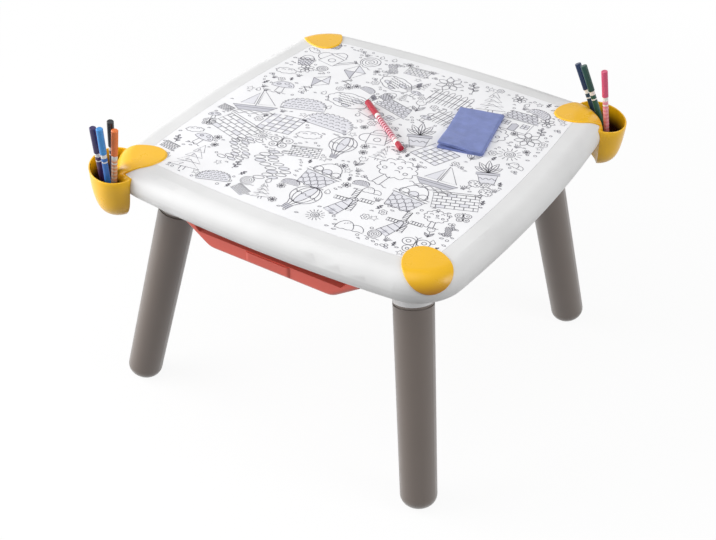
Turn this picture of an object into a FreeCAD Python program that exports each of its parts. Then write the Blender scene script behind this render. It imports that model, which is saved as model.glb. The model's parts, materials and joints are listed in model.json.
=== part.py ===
"""Activity table: a hollow top on four splayed legs, with a drawer, pen cups, pens and a cloth.

The table stands on the plane of zero height, with its middle over the origin and the drawer towards -Y.
"""
import FreeCAD, Part
import math
import os

import Sketcher

Vector = FreeCAD.Vector
UP = Vector(0, 0, 1)
# Two readings closer than this count as the same
CLOSE = 1e-4

# Driving dimensions, in millimetres, with angles in degrees
SIZES = {
    # Table top
    "top_height": 430.0,
    "top_half": 311.0,
    "side_arc": 2430.0,
    "corner_round": 80.0,
    "rim_depth": 51.0,
    "crown_round": 25.0,
    "rim_band": 1.0,
    "shell_wall": 3.0,
    "rib_wall": 2.0,
    "rib_depth": 12.0,
    "overrun": 2.0,
    # Drawing board
    "board_inset": 46.0,
    "board_thick": 3.0,
    "board_gap": 0.5,
    # Legs and their sockets
    "foot_inset": 33.7,
    "splay_angle": 14.6,
    "leg_top_radius": 30.5,
    "leg_foot_radius": 28.75,
    "leg_wall": 2.5,
    "foot_round": 20.0,
    "foot_floor": 12.0,
    "neck_radius": 24.0,
    "neck_length": 73.0,
    "neck_gap": 0.25,
    "collar_drop": 47.0,
    "leg_bead": 2.4,
    "leg_groove": 2.4,
    "leg_groove_depth": 1.6,
    # Corner caps and the tongues of the pen cups
    "cap_gap": 0.2,
    "cap_wall": 2.2,
    "cap_tilt": 45.0,
    "cap_slope_half": 36.5,
    "cap_across_half": 34.5,
    "cap_shift": 18.7,
    "cap_edge_round": 1.1,
    "stud_radius": 5.0,
    "stud_depth": 12.0,
    "stud_inset": 35.5,
    "stud_gap": 0.2,
    # Pen cups
    "cup_offset": 3.0,
    "cup_reach": 40.0,
    "cup_half": 55.0,
    "cup_depth": 76.0,
    "cup_lip_drop": 10.0,
    "cup_wall": 2.5,
    "cup_lip_round": 0.75,
    # Drawer and its runners
    "drawer_half": 113.0,
    "drawer_front": 271.0,
    "drawer_back": 89.0,
    "drawer_hang": 14.0,
    "drawer_depth": 40.0,
    "drawer_wall": 2.5,
    "drawer_round": 30.0,
    "drawer_base_round": 9.0,
    "front_drop": 15.0,
    "front_notch": 38.0,
    "notch_slope": 12.0,
    "flange_reach": 11.0,
    "flange_thick": 3.0,
    "panel_half": 156.0,
    "panel_base_half": 111.0,
    "panel_depth": 14.0,
    "panel_end": 6.0,
    "panel_ear": 16.0,
    "panel_ear_drop": 3.0,
    "panel_corner": 30.0,
    "panel_round": 8.0,
    "grip_half": 42.0,
    "grip_proud": 2.5,
    "grip_rise": 2.5,
    "grip_drop": 1.5,
    "runner_wall": 3.0,
    "runner_grip": 8.0,
    "runner_foot": 16.0,
    "runner_gap": 0.4,
    # Screws
    "screw_radius": 1.6,
    "screw_head_radius": 3.6,
    "screw_head": 2.2,
    "screw_gap": 0.15,
    "boss_wall": 3.2,
    "boss_inset": 35.0,
    "boss_spread": 95.0,
    "shell_screw_bite": 14.0,
    "runner_screw_bite": 9.0,
    # Felt pens
    "pen_length": 156.0,
    "pen_radius": 4.5,
    "pen_wall": 1.2,
    "pen_plug": 16.0,
    "pen_plug_spigot": 10.0,
    "pen_cap_length": 46.0,
    "pen_cap_radius": 5.2,
    "pen_cap_end": 6.0,
    "pen_cap_chamfer": 0.8,
    "pen_neck_radius": 3.7,
    "pen_neck_length": 16.0,
    "pen_fit": 0.08,
    "nib_radius": 1.5,
    "nib_root": 12.0,
    "nib_reach": 2.0,
    "nib_point": 4.0,
    "nib_point_radius": 0.4,
    "rest_gap": 0.25,
    # Folded cloth
    "cloth_wide": 74.0,
    "cloth_long": 134.0,
    "cloth_thick": 7.0,
    "cloth_round": 2.6,
    "cloth_angle": 9.7,
    "pen_angle": 141.5,
}

# The corners, named as the photograph shows them
CORNERS = {"left": (-1, -1), "front": (1, -1), "right": (1, 1), "back": (-1, 1)}
CAPPED = ("front", "back")
CUPPED = ("left", "right")

# Sections of a pen cup from its floor to its lip, as shares of its depth, its reach and its half width
CUP_LEVEL_SHARES = (0.0, 0.033, 0.118, 0.29, 0.58, 1.0)
CUP_REACH_SHARES = (0.45, 0.60, 0.75, 0.875, 0.9625, 1.0)
CUP_HALF_SHARES = (0.40, 0.50, 0.655, 0.82, 0.927, 1.0)

# How far down the underside of the rim a corner cap wraps, as a share of that rounding
CAP_SKIRT_SHARE = 0.68
# How deep inside the rim the cap's outline starts, as a share of its slope
CAP_START_SHARE = 0.55
CAP_RUN_SHARE = 2.4

# Pens in the cups: cup, foot outwards and across and above the floor, as shares of the cup's reach,
# half width and depth, then the lean outwards and across for each step up
PEN_PLACE_SHARES = {
    "navy": ("left", 0.462, 0.166, 0.077, 0.036, 0.162),
    "sky": ("left", 0.296, 0.487, 0.154, 0.015, 0.152),
    "black": ("left", 0.171, 0.032, 0.150, -0.059, 0.175),
    "orange": ("left", 0.247, 0.280, 0.036, -0.112, 0.166),
    "blue": ("right", 0.544, 0.098, 0.092, -0.366, 0.334),
    "green": ("right", 0.607, -0.094, 0.136, -0.365, 0.265),
    "pink": ("right", 0.433, -0.218, 0.062, -0.161, 0.052),
}
# Places on the board, as shares of half the table's width
RED_PEN_SHARES = (0.2296, -0.0498)
CLOTH_SHARES = (0.434, 0.312)
# Ribs under the deck and screws along a runner, as shares of half the board and of the drawer's length
RIB_SHARES = (-0.45, -0.15, 0.15, 0.45)
RUNNER_SCREW_SHARES = (0.08, 0.5, 0.92)

doc = FreeCAD.newDocument("activity_table")
sheet = doc.addObject("Spreadsheet::Sheet", "sizes")
for row, (alias, number) in enumerate(SIZES.items(), start=1):
    sheet.set("A%d" % row, alias)
    sheet.set("B%d" % row, str(number))
    sheet.setAlias("B%d" % row, alias)
doc.recompute()

nodes = {}


def value(expression):
    """The number that an expression over the sheet gives."""
    return float(sheet.evalExpression(expression))


def bind(item, **expressions):
    for name, expression in expressions.items():
        item.setExpression(name.replace("__", "."), expression)


def place(item, x="0", y="0", z="0"):
    bind(item, Placement__Base__x=x, Placement__Base__y=y, Placement__Base__z=z)


def keep(label, item):
    """Names a finished sub-part."""
    item.Label = label
    nodes[label] = item
    return item


# Expressions that several pieces share
BELLY = "(sizes.rim_depth - sizes.crown_round - sizes.rim_band)"
PARTING = "(sizes.top_height - sizes.crown_round)"
UNDERSIDE = "(sizes.top_height - sizes.rim_depth)"
DECK_UNDER = "(sizes.top_height - sizes.board_thick - sizes.shell_wall)"
COLLAR = "(%s - sizes.collar_drop)" % UNDERSIDE
DRAWER_TOP = "(%s - sizes.drawer_hang)" % UNDERSIDE
DRAWER_BASE = "(%s - sizes.drawer_depth)" % DRAWER_TOP


# Corner geometry

def corner_centre():
    """Distance along a diagonal from the middle to the centre of the corner's arc."""
    back = value("sizes.side_arc - sizes.top_half")
    swing = value("sizes.side_arc - sizes.corner_round")
    return (math.sqrt(2 * swing**2 - back**2) - back) / math.sqrt(2)


def corner_reach():
    return corner_centre() + value("sizes.corner_round")


def outward(corner):
    sx, sy = CORNERS[corner]
    return Vector(sx, sy, 0).normalize()


def across(corner):
    return UP.cross(outward(corner))


# Building blocks

def origin_plane(body, role):
    return [item for item in body.Origin.OriginFeatures if item.Role == role][0]


def new_sketch(body, name, role):
    sketch = body.newObject("Sketcher::SketchObject", name)
    sketch.AttachmentSupport = [(origin_plane(body, role), "")]
    sketch.MapMode = "FlatFace"
    return sketch


def hold(sketch, kind, geometry, point, expression):
    """Ties one coordinate of a sketch point to an expression, measured from the sketch's origin."""
    reading = value(expression)
    if abs(reading) < CLOSE:
        axis = -2 if kind == "DistanceX" else -1
        sketch.addConstraint(Sketcher.Constraint("PointOnObject", geometry, point, axis))
        return
    if reading > 0:
        index = sketch.addConstraint(Sketcher.Constraint(kind, -1, 1, geometry, point, reading))
        sketch.setExpression("Constraints[%d]" % index, expression)
    else:
        index = sketch.addConstraint(Sketcher.Constraint(kind, geometry, point, -1, 1, -reading))
        sketch.setExpression("Constraints[%d]" % index, "-(%s)" % expression)


def polygon(body, name, role, points):
    """A closed outline of straight lines, each corner tied to a pair of expressions."""
    sketch = new_sketch(body, name, role)
    spots = [Vector(value(x), value(y), 0) for x, y in points]
    count = len(points)
    for index in range(count):
        sketch.addGeometry(Part.LineSegment(spots[index], spots[(index + 1) % count]), False)
    for index in range(count):
        sketch.addConstraint(Sketcher.Constraint("Coincident", index, 2, (index + 1) % count, 1))
    for index, (x, y) in enumerate(points):
        hold(sketch, "DistanceX", index, 1, x)
        hold(sketch, "DistanceY", index, 1, y)
    return sketch


def rounded_square(body, name, grow):
    """The table's plan, with bowed sides and round corners, grown outwards all round."""
    half = value("sizes.top_half + " + grow)
    side = value("sizes.side_arc + " + grow)
    corner = value("sizes.corner_round + " + grow)
    back = side - half
    diagonal = corner_centre()
    spread = math.atan2(diagonal / math.sqrt(2), back + diagonal / math.sqrt(2))
    sketch = new_sketch(body, name, "XY_Plane")
    for turn in range(4):
        middle = (turn - 1) * math.pi / 2
        centre = Vector(math.cos(middle), math.sin(middle), 0) * -back
        edge = middle + spread
        far = middle + math.pi / 2 - spread
        pivot = Vector(math.cos(middle + math.pi / 4), math.sin(middle + math.pi / 4), 0) * diagonal
        sketch.addGeometry(Part.ArcOfCircle(Part.Circle(centre, UP, side), middle - spread, edge), False)
        sketch.addGeometry(Part.ArcOfCircle(Part.Circle(pivot, UP, corner), edge, far), False)
    for index in range(8):
        sketch.addConstraint(Sketcher.Constraint("Tangent", index, 2, (index + 1) % 8, 1))
    for turn in range(4):
        index = sketch.addConstraint(Sketcher.Constraint("Radius", 2 * turn, side))
        sketch.setExpression("Constraints[%d]" % index, "sizes.side_arc + " + grow)
        index = sketch.addConstraint(Sketcher.Constraint("Radius", 2 * turn + 1, corner))
        sketch.setExpression("Constraints[%d]" % index, "sizes.corner_round + " + grow)
        kind, other = ("DistanceY", "DistanceX") if turn % 2 == 0 else ("DistanceX", "DistanceY")
        sign = "" if turn in (0, 3) else "-"
        hold(sketch, other, 2 * turn, 3, "0")
        hold(sketch, kind, 2 * turn, 3, sign + "(sizes.side_arc - sizes.top_half)")
    return sketch


def pad(body, sketch, length, midplane=False):
    feature = body.newObject("PartDesign::Pad", "pad")
    feature.Profile = sketch
    feature.Midplane = midplane
    bind(feature, Length=length)
    doc.recompute()
    return feature


def edges_where(shape, test):
    return ["Edge%d" % (index + 1) for index, edge in enumerate(shape.Edges) if test(edge)]


def level(z):
    """A test for edges that lie flat at a height."""
    return lambda edge: max(abs(edge.BoundBox.ZMin - z), abs(edge.BoundBox.ZMax - z)) < CLOSE


def upright(edge):
    box = edge.BoundBox
    return max(box.XLength, box.YLength) < CLOSE


def fillet(body, base, test, radius):
    feature = body.newObject("PartDesign::Fillet", "fillet")
    feature.Base = (base, edges_where(base.Shape, test))
    bind(feature, Radius=radius)
    doc.recompute()
    return feature


def slab(name, grow, thick, z):
    """A plate of the table's plan, grown, standing at a height."""
    body = doc.addObject("PartDesign::Body", name)
    pad(body, rounded_square(body, name + "_plan", grow), thick)
    place(body, z=z)
    return body


def rim_form(name, grow):
    """The table top's outside, grown outwards, with its crown and its rounded underside."""
    body = doc.addObject("PartDesign::Body", name)
    thick = "sizes.rim_depth + 2 * (%s)" % grow
    base = pad(body, rounded_square(body, name + "_plan", grow), thick)
    crown = fillet(body, base, level(value(thick)), "sizes.crown_round + " + grow)
    fillet(body, crown, level(0), "%s + %s" % (BELLY, grow))
    place(body, z="%s - (%s)" % (UNDERSIDE, grow))
    return body


def corner_form(name, corner, grow):
    """The rim's outside at one corner, grown outwards: a disc about the corner's own centre."""
    reach = "sizes.corner_round + " + grow
    thick = "sizes.rim_depth + 2 * (%s)" % grow
    body = turned(name, [("0", "0"), (reach, "0"), (reach, thick), ("0", thick)])
    crown = fillet(body, body.Tip, level(value(thick)), "sizes.crown_round + " + grow)
    fillet(body, crown, level(0), "%s + %s" % (BELLY, grow))
    body.Placement.Base = at_height(outward(corner) * corner_centre(), "%s - (%s)" % (UNDERSIDE, grow))
    return body


def rim_mould(name, grow):
    """As the rim's outside, but straight down from its widest line, past the foot of the pen cups."""
    body = doc.addObject("PartDesign::Body", name)
    thick = "sizes.cup_lip_drop + sizes.cup_depth + sizes.overrun + " + grow
    base = pad(body, rounded_square(body, name + "_plan", grow), thick)
    fillet(body, base, level(value(thick)), "sizes.crown_round + " + grow)
    place(body, z="sizes.top_height - sizes.cup_lip_drop - sizes.cup_depth - sizes.overrun")
    return body


def block(name, low, high):
    """A box between two corners given as expressions."""
    box = doc.addObject("Part::Box", name)
    lengths = ["(%s) - (%s)" % (top, base) for base, top in zip(low, high)]
    bind(box, Length=lengths[0], Width=lengths[1], Height=lengths[2])
    place(box, *low)
    return box


def soft_block(name, wide, long, thick, radius):
    """A block about the origin with every edge rounded."""
    body = doc.addObject("PartDesign::Body", name)
    half_wide, half_long = "%s / 2" % wide, "%s / 2" % long
    corners = [("-" + half_wide, "-" + half_long), (half_wide, "-" + half_long),
               (half_wide, half_long), ("-" + half_wide, half_long)]
    base = pad(body, polygon(body, name + "_plan", "XY_Plane", corners), thick)
    fillet(body, base, lambda edge: True, radius)
    return body


def rod(name, radius, height, foot, direction=UP):
    bar = doc.addObject("Part::Cylinder", name)
    bind(bar, Radius=radius, Height=height)
    bar.Placement = FreeCAD.Placement(foot, FreeCAD.Rotation(UP, direction))
    return bar


def turned(name, profile):
    """A body turned about its own upright axis from pairs of radius and height."""
    body = doc.addObject("PartDesign::Body", name)
    sketch = polygon(body, name + "_profile", "XZ_Plane", profile)
    feature = body.newObject("PartDesign::Revolution", name + "_turn")
    feature.Profile = sketch
    feature.ReferenceAxis = (sketch, ["V_Axis"])
    doc.recompute()
    return body


def pair(kind, name, base, tool):
    item = doc.addObject("Part::" + kind, name)
    item.Base = base
    item.Tool = tool
    return item


def fuse(name, shapes):
    item = doc.addObject("Part::MultiFuse", name)
    item.Shapes = shapes
    return item


# Table top: an upper shell with the deck, and an underside shell with the leg sockets

def shell_screw_spots():
    """Where the screws that hold the two shells stand."""
    far = value("sizes.top_half - sizes.boss_inset")
    near = value("sizes.boss_spread")
    return [Vector(sx * a, sy * b, 0) for a, b in ((far, near), (near, far))
            for sx in (-1, 1) for sy in (-1, 1)]


def stud_spot(corner):
    return outward(corner) * (corner_reach() - value("sizes.stud_inset"))


def at_height(spot, expression):
    return Vector(spot.x, spot.y, value(expression))


def leg_axis(corner):
    """Direction of a leg, from its foot up and inwards."""
    splay = math.radians(value("sizes.splay_angle"))
    return outward(corner) * -math.sin(splay) + UP * math.cos(splay)


def foot_spot(corner):
    sx, sy = CORNERS[corner]
    return Vector(sx, sy, 0) * value("sizes.top_half - sizes.foot_inset")


def collar_spot(corner):
    """Where a leg's axis meets the lower end of its socket."""
    axis = leg_axis(corner)
    return foot_spot(corner) + axis * (value(COLLAR) / axis.z)


def runner_screw_spots(side):
    x = side * value("sizes.drawer_half + sizes.flange_reach + sizes.runner_gap + sizes.runner_wall"
                     " + sizes.runner_foot / 2")
    front, back = -value("sizes.drawer_front"), value("sizes.drawer_back")
    start = front + value("sizes.front_notch")
    return [Vector(x, start + share * (back - start), 0) for share in RUNNER_SCREW_SHARES]


def build_top():
    outer = rim_form("rim_outside", "0")
    inner = rim_form("rim_inside", "-sizes.shell_wall")
    hollow = pair("Cut", "rim_hollow", outer, inner)
    side = "sizes.top_half + sizes.overrun"
    upper = block("above_parting", ("-(%s)" % side, "-(%s)" % side, PARTING),
                  (side, side, "sizes.top_height + sizes.overrun"))
    lower = block("below_parting", ("-(%s)" % side, "-(%s)" % side, UNDERSIDE + " - sizes.overrun"),
                  (side, side, PARTING))
    build_upper_shell(pair("Common", "crown_shell", hollow, upper))
    build_underside(pair("Common", "belly_shell", hollow, lower))


def build_upper_shell(crown):
    deck = slab("deck", "-sizes.board_inset + sizes.board_gap + sizes.shell_wall",
                "sizes.board_thick + sizes.shell_wall", DECK_UNDER)
    adds = [crown, deck]
    cuts = [slab("recess", "-sizes.board_inset + sizes.board_gap", "sizes.board_thick + sizes.overrun",
                 "sizes.top_height - sizes.board_thick")]
    half = "(sizes.top_half - sizes.board_inset)"
    for number, share in enumerate(RIB_SHARES):
        low = "%s * %g - sizes.rib_wall / 2" % (half, share)
        high = "%s * %g + sizes.rib_wall / 2" % (half, share)
        z = (DECK_UNDER + " - sizes.rib_depth", DECK_UNDER + " + sizes.shell_wall / 2")
        adds.append(block("rib_along_%d" % number, ("-" + half, low, z[0]), (half, high, z[1])))
        adds.append(block("rib_across_%d" % number, (low, "-" + half, z[0]), (high, half, z[1])))
    for number, spot in enumerate(shell_screw_spots()):
        adds.append(rod("upper_boss_%d" % number, "sizes.screw_radius + sizes.boss_wall",
                        "sizes.crown_round - sizes.shell_wall / 2", at_height(spot, PARTING)))
        cuts.append(rod("upper_pilot_%d" % number, "sizes.screw_radius + sizes.screw_gap",
                        "sizes.shell_screw_bite + 2 * sizes.overrun",
                        at_height(spot, PARTING + " - sizes.overrun")))
    for corner in CORNERS:
        spot = stud_spot(corner)
        adds.append(rod("stud_boss_" + corner, "sizes.stud_radius + sizes.stud_gap + sizes.shell_wall",
                        "sizes.stud_depth", at_height(spot, "sizes.top_height - sizes.stud_depth")))
        cuts.append(rod("stud_hole_" + corner, "sizes.stud_radius + sizes.stud_gap",
                        "sizes.stud_depth + 2 * sizes.overrun",
                        at_height(spot, "sizes.top_height - sizes.stud_depth - sizes.overrun")))
    keep("table_top", pair("Cut", "table_top_cut", fuse("table_top_adds", adds),
                           fuse("table_top_cuts", cuts)))


def build_underside(belly):
    adds, cuts = [belly], []
    for corner in CORNERS:
        axis, spot = leg_axis(corner), collar_spot(corner)
        adds.append(rod("socket_" + corner, "sizes.leg_top_radius",
                        "sizes.neck_length + sizes.overrun + sizes.shell_wall", spot, axis))
        cuts.append(rod("socket_bore_" + corner, "sizes.neck_radius + sizes.neck_gap",
                        "sizes.neck_length + 2 * sizes.overrun",
                        spot - axis * value("sizes.overrun"), axis))
    head_seat = UNDERSIDE + " + sizes.screw_head + sizes.screw_gap"
    for number, spot in enumerate(shell_screw_spots()):
        adds.append(rod("lower_boss_%d" % number, "sizes.screw_head_radius + sizes.boss_wall",
                        PARTING + " - %s - sizes.shell_wall / 2" % UNDERSIDE,
                        at_height(spot, UNDERSIDE + " + sizes.shell_wall / 2")))
        cuts.append(rod("lower_hole_%d" % number, "sizes.screw_radius + sizes.screw_gap",
                        "sizes.rim_depth", at_height(spot, UNDERSIDE + " - sizes.overrun")))
        cuts.append(rod("lower_head_%d" % number, "sizes.screw_head_radius + sizes.screw_gap",
                        "sizes.screw_head + sizes.screw_gap + sizes.overrun",
                        at_height(spot, UNDERSIDE + " - sizes.overrun")))
    for side in (-1, 1):
        for number, spot in enumerate(runner_screw_spots(side)):
            tag = "%s_%d" % ("left" if side < 0 else "right", number)
            adds.append(rod("runner_boss_" + tag, "sizes.screw_radius + sizes.boss_wall",
                            "sizes.runner_screw_bite",
                            at_height(spot, UNDERSIDE + " + sizes.shell_wall / 2")))
            cuts.append(rod("runner_pilot_" + tag, "sizes.screw_radius + sizes.screw_gap",
                            "sizes.runner_screw_bite + sizes.overrun",
                            at_height(spot, UNDERSIDE + " - sizes.overrun")))
    keep("table_underside", pair("Cut", "underside_cut", fuse("underside_adds", adds),
                                 fuse("underside_cuts", cuts)))
    screws = [screw("shell_screw_%d" % number, at_height(spot, head_seat), PARTING + " - (%s)" % head_seat
                    + " + sizes.shell_screw_bite") for number, spot in enumerate(shell_screw_spots())]
    keep("shell_screws", group("shell_screw_group", screws))


def screw(name, seat, reach):
    """A pan head screw driven upwards, its head under the seat."""
    body = turned(name, [("0", "-sizes.screw_head"), ("sizes.screw_head_radius", "-sizes.screw_head"),
                         ("sizes.screw_head_radius", "0"), ("sizes.screw_radius", "0"),
                         ("sizes.screw_radius", reach), ("0", reach)])
    body.Placement = FreeCAD.Placement(seat, FreeCAD.Rotation())
    return body


def group(name, items):
    compound = doc.addObject("Part::Compound", name)
    compound.Links = items
    return compound


def build_board():
    keep("drawing_board", slab("board", "-sizes.board_inset", "sizes.board_thick",
                               "sizes.top_height - sizes.board_thick"))


# Legs: hollow turned tubes with a bead and a neck, cut flat where they stand

def build_legs():
    side = "sizes.top_half"
    floor = block("floor", ("-" + side, "-" + side, "-sizes.foot_round"), (side, side, "0"))
    shoulder = "%s / cos(sizes.splay_angle)" % COLLAR
    top = shoulder + " + sizes.neck_length"
    bead = "(%s - sizes.leg_bead)" % shoulder
    groove = "(%s - sizes.leg_groove)" % bead
    groove_radius = "sizes.leg_top_radius - sizes.leg_groove_depth"
    bore = "(sizes.leg_foot_radius - sizes.leg_wall)"
    profile = [("0", "0"), ("sizes.leg_foot_radius", "0"), ("sizes.leg_top_radius", groove),
               (groove_radius, groove), (groove_radius, bead), ("sizes.leg_top_radius", bead),
               ("sizes.leg_top_radius", shoulder), ("sizes.neck_radius", shoulder),
               ("sizes.neck_radius", top),
               ("sizes.neck_radius - sizes.leg_wall", top),
               ("sizes.neck_radius - sizes.leg_wall", shoulder + " - 2 * sizes.leg_wall"),
               (bore, shoulder + " - 4 * sizes.leg_wall"), (bore, "2 * sizes.foot_floor"),
               (bore + " - sizes.foot_floor", "sizes.foot_floor"), ("0", "sizes.foot_floor")]
    for corner in CORNERS:
        body = turned("leg_tube_" + corner, profile)
        fillet(body, body.Tip, level(0), "sizes.foot_round")
        body.Placement = FreeCAD.Placement(foot_spot(corner), FreeCAD.Rotation(UP, leg_axis(corner)))
        keep("leg_" + corner, pair("Cut", "leg_cut_" + corner, body, floor))


# Corner caps and pen cups

def cap_outline(corner):
    """The slanting oval prism that bounds a corner cap, and the tongue of a pen cup."""
    tilt = math.radians(value("sizes.cap_tilt"))
    out = outward(corner)
    axis = out * math.cos(tilt) + UP * math.sin(tilt)
    slope = UP * math.cos(tilt) - out * math.sin(tilt)
    crown = at_height(out * (corner_reach() - value("sizes.crown_round")), PARTING)
    start = value("sizes.cap_slope_half") * CAP_START_SHARE
    oval = doc.addObject("Part::Ellipse", "cap_oval_" + corner)
    bind(oval, MajorRadius="sizes.cap_slope_half", MinorRadius="sizes.cap_across_half")
    oval.Placement = FreeCAD.Placement(crown + slope * value("sizes.cap_shift") - axis * start,
                                       FreeCAD.Rotation(slope, axis.cross(slope), axis, "ZXY"))
    prism = doc.addObject("Part::Extrusion", "cap_prism_" + corner)
    prism.Base = oval
    prism.DirMode = "Custom"
    prism.Dir = axis
    prism.Solid = True
    bind(prism, LengthFwd="sizes.cap_slope_half * %g" % CAP_RUN_SHARE)
    return prism


def stud(corner):
    foot = at_height(stud_spot(corner), "sizes.top_height - sizes.stud_depth")
    return rod("stud_" + corner, "sizes.stud_radius",
               "sizes.stud_depth + sizes.cap_gap + sizes.cap_wall / 2", foot)


def cup_loft(name, corner, inset, floor, extra):
    """A pen cup's bucket: a loft through ovals, drawn in by an inset, on its own floor level."""
    out = outward(corner)
    centre = out * (corner_reach() + value("sizes.cup_offset"))
    lip = "(sizes.top_height - sizes.cup_lip_drop)"
    depth = "(sizes.cup_depth - (%s))" % floor
    rows = list(zip(CUP_LEVEL_SHARES, CUP_REACH_SHARES, CUP_HALF_SHARES))
    heights = ["%s - %s * %g" % (lip, depth, 1 - share) for share, _, _ in rows]
    if extra:
        rows.append(rows[-1])
        heights.append(lip + " + sizes.overrun")
    sections = []
    for number, (row, height) in enumerate(zip(rows, heights)):
        oval = doc.addObject("Part::Ellipse", "%s_%d" % (name, number))
        bind(oval, MajorRadius="sizes.cup_half * %g - (%s)" % (row[2], inset),
             MinorRadius="sizes.cup_reach * %g - (%s)" % (row[1], inset))
        oval.Placement = FreeCAD.Placement(at_height(centre, height),
                                           FreeCAD.Rotation(across(corner), -out, UP, "ZXY"))
        sections.append(oval)
    loft = doc.addObject("Part::Loft", name)
    loft.Sections = sections
    loft.Solid = True
    return loft


def rounded(name, base, radius, test):
    """Rounds the edges of a plain solid that pass a test."""
    doc.recompute()
    reading = value(radius)
    item = doc.addObject("Part::Fillet", name)
    item.Base = base
    item.Edges = [(number, reading, reading)
                  for number, edge in enumerate(base.Shape.Edges, start=1) if test(edge)]
    return item


def tongue(corner, below):
    """The patch that wraps over a corner of the rim, still solid behind, with a soft edge."""
    outside = corner_form("cap_outside_" + corner, corner, "sizes.cap_gap + sizes.cap_wall")
    chunk = pair("Common", "chunk_" + corner, outside, cap_outline(corner))
    doc.recompute()
    skirt = value("%s - %g * %s" % (PARTING, CAP_SKIRT_SHARE, BELLY))
    wall = [face for face in chunk.Shape.Faces if "Extrusion" in face.Surface.TypeId][0]

    def on_outside(edge):
        straight = edge.Curve.TypeId == "Part::GeomLine"
        return not straight and edge.BoundBox.ZMin > skirt and any(edge.isSame(side) for side in wall.Edges)

    soft = rounded("tongue_soft_" + corner, chunk, "sizes.cap_edge_round", on_outside)
    return pair("Cut", "tongue_" + corner, soft, below)


def build_corners():
    side = "(sizes.top_half + sizes.cup_half)"
    below = block("below_caps", ("-" + side, "-" + side, "0"),
                  (side, side, "%s - %g * %s" % (PARTING, CAP_SKIRT_SHARE, BELLY)))
    for corner in CAPPED:
        inside = corner_form("cap_inside_" + corner, corner, "sizes.cap_gap")
        skin = pair("Cut", "cap_skin_" + corner, tongue(corner, below), inside)
        keep("corner_cap_" + corner, fuse("cap_" + corner, [skin, stud(corner)]))
    back = rim_mould("cup_back", "sizes.cap_gap")
    face = rim_mould("cup_face", "sizes.cap_gap + sizes.cup_wall")
    for corner in CUPPED:
        build_cup(corner, tongue(corner, below), back, face)


def build_cup(corner, wrap, back, face):
    """A bucket with its own back wall against the rim, hung from the tongue that wraps over the rim."""
    ring = pair("Cut", "cup_ring_" + corner, cup_loft("bucket_" + corner, corner, "0", "0", False),
                cup_loft("hollow_" + corner, corner, "sizes.cup_wall", "sizes.cup_wall", True))
    core = cup_loft("core_" + corner, corner, "sizes.cup_wall / 2", "sizes.cup_wall / 2", False)
    wall = pair("Common", "cup_wall_" + corner, core, face)
    fitted = pair("Cut", "cup_fit_" + corner, fuse("cup_adds_" + corner, [ring, wall, wrap]), back)
    whole = fuse("cup_whole_" + corner, [fitted, stud(corner)])
    doc.recompute()
    at_lip = level(value("sizes.top_height - sizes.cup_lip_drop"))
    long = value("2 * sizes.cup_half")
    keep("pen_cup_" + corner, rounded("cup_" + corner, whole, "sizes.cup_lip_round",
                                      lambda edge: at_lip(edge) and edge.Length > long))


# Drawer and runners

def tub_form(name, inset):
    """The drawer's bucket, drawn in by an inset, open upwards past its rim if it is the hollow."""
    body = doc.addObject("PartDesign::Body", name)
    half = "(sizes.drawer_half - %s)" % inset
    front = "-(sizes.drawer_front - sizes.panel_depth / 2 - %s)" % inset
    back = "sizes.drawer_back - %s" % inset
    plan = polygon(body, name + "_plan", "XY_Plane",
                   [("-" + half, front), (half, front), (half, back), ("-" + half, back)])
    thick = "sizes.drawer_depth" if inset == "0" else "sizes.drawer_depth + sizes.overrun"
    base = pad(body, plan, thick)
    sides = fillet(body, base, upright, "sizes.drawer_round - %s" % inset)
    fillet(body, sides, level(0), "sizes.drawer_base_round - %s" % inset)
    place(body, z="%s + %s" % (DRAWER_BASE, inset))
    return body


def front_plate(name, outline, proud, depth):
    """A plate across the drawer's front from an outline of x and z, its lower front edges rounded."""
    body = doc.addObject("PartDesign::Body", name)
    base = pad(body, polygon(body, name + "_outline", "XZ_Plane", outline), depth, True)
    face = -value(depth) / 2
    lowest = min(value(z) for x, z in outline)
    highest = value(DRAWER_TOP + " - sizes.front_drop - sizes.grip_drop")
    corners = fillet(body, base, lambda edge: level(lowest)(edge) and edge.BoundBox.XLength < CLOSE,
                     "sizes.panel_corner" if proud == "0" else "sizes.grip_proud")

    def lower_front(edge):
        box = edge.BoundBox
        on_face = max(abs(box.YMin - face), abs(box.YMax - face)) < CLOSE
        return on_face and box.ZMin < highest - CLOSE and box.XLength > CLOSE

    fillet(body, corners, lower_front, "sizes.panel_round")
    place(body, y="-sizes.drawer_front - %s + (%s) / 2" % (proud, depth))
    return body


def build_panel():
    """The boat-shaped front panel: sloping ends with raised ears, and a middle a little proud as a grip."""
    top, ear = DRAWER_TOP + " - sizes.front_drop", DRAWER_TOP + " - sizes.panel_ear_drop"
    inner = "(sizes.panel_half - sizes.panel_ear)"
    foot = "(%s - (%s - (%s)))" % (inner, ear, top)
    right = [("sizes.panel_base_half", DRAWER_BASE), ("sizes.panel_half", ear + " - sizes.panel_end"),
             ("sizes.panel_half", ear), (inner, ear), (foot, top)]
    left = [("-" + x, z) for x, z in reversed(right)]
    panel = front_plate("panel", right + left, "0", "sizes.panel_depth")
    low, high = DRAWER_BASE + " + sizes.grip_rise", top + " - sizes.grip_drop"
    grip = front_plate("grip", [("-sizes.grip_half", low), ("sizes.grip_half", low),
                                ("sizes.grip_half", high), ("-sizes.grip_half", high)],
                       "sizes.grip_proud", "sizes.panel_depth / 2 + sizes.grip_proud")
    return [panel, grip]


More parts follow.
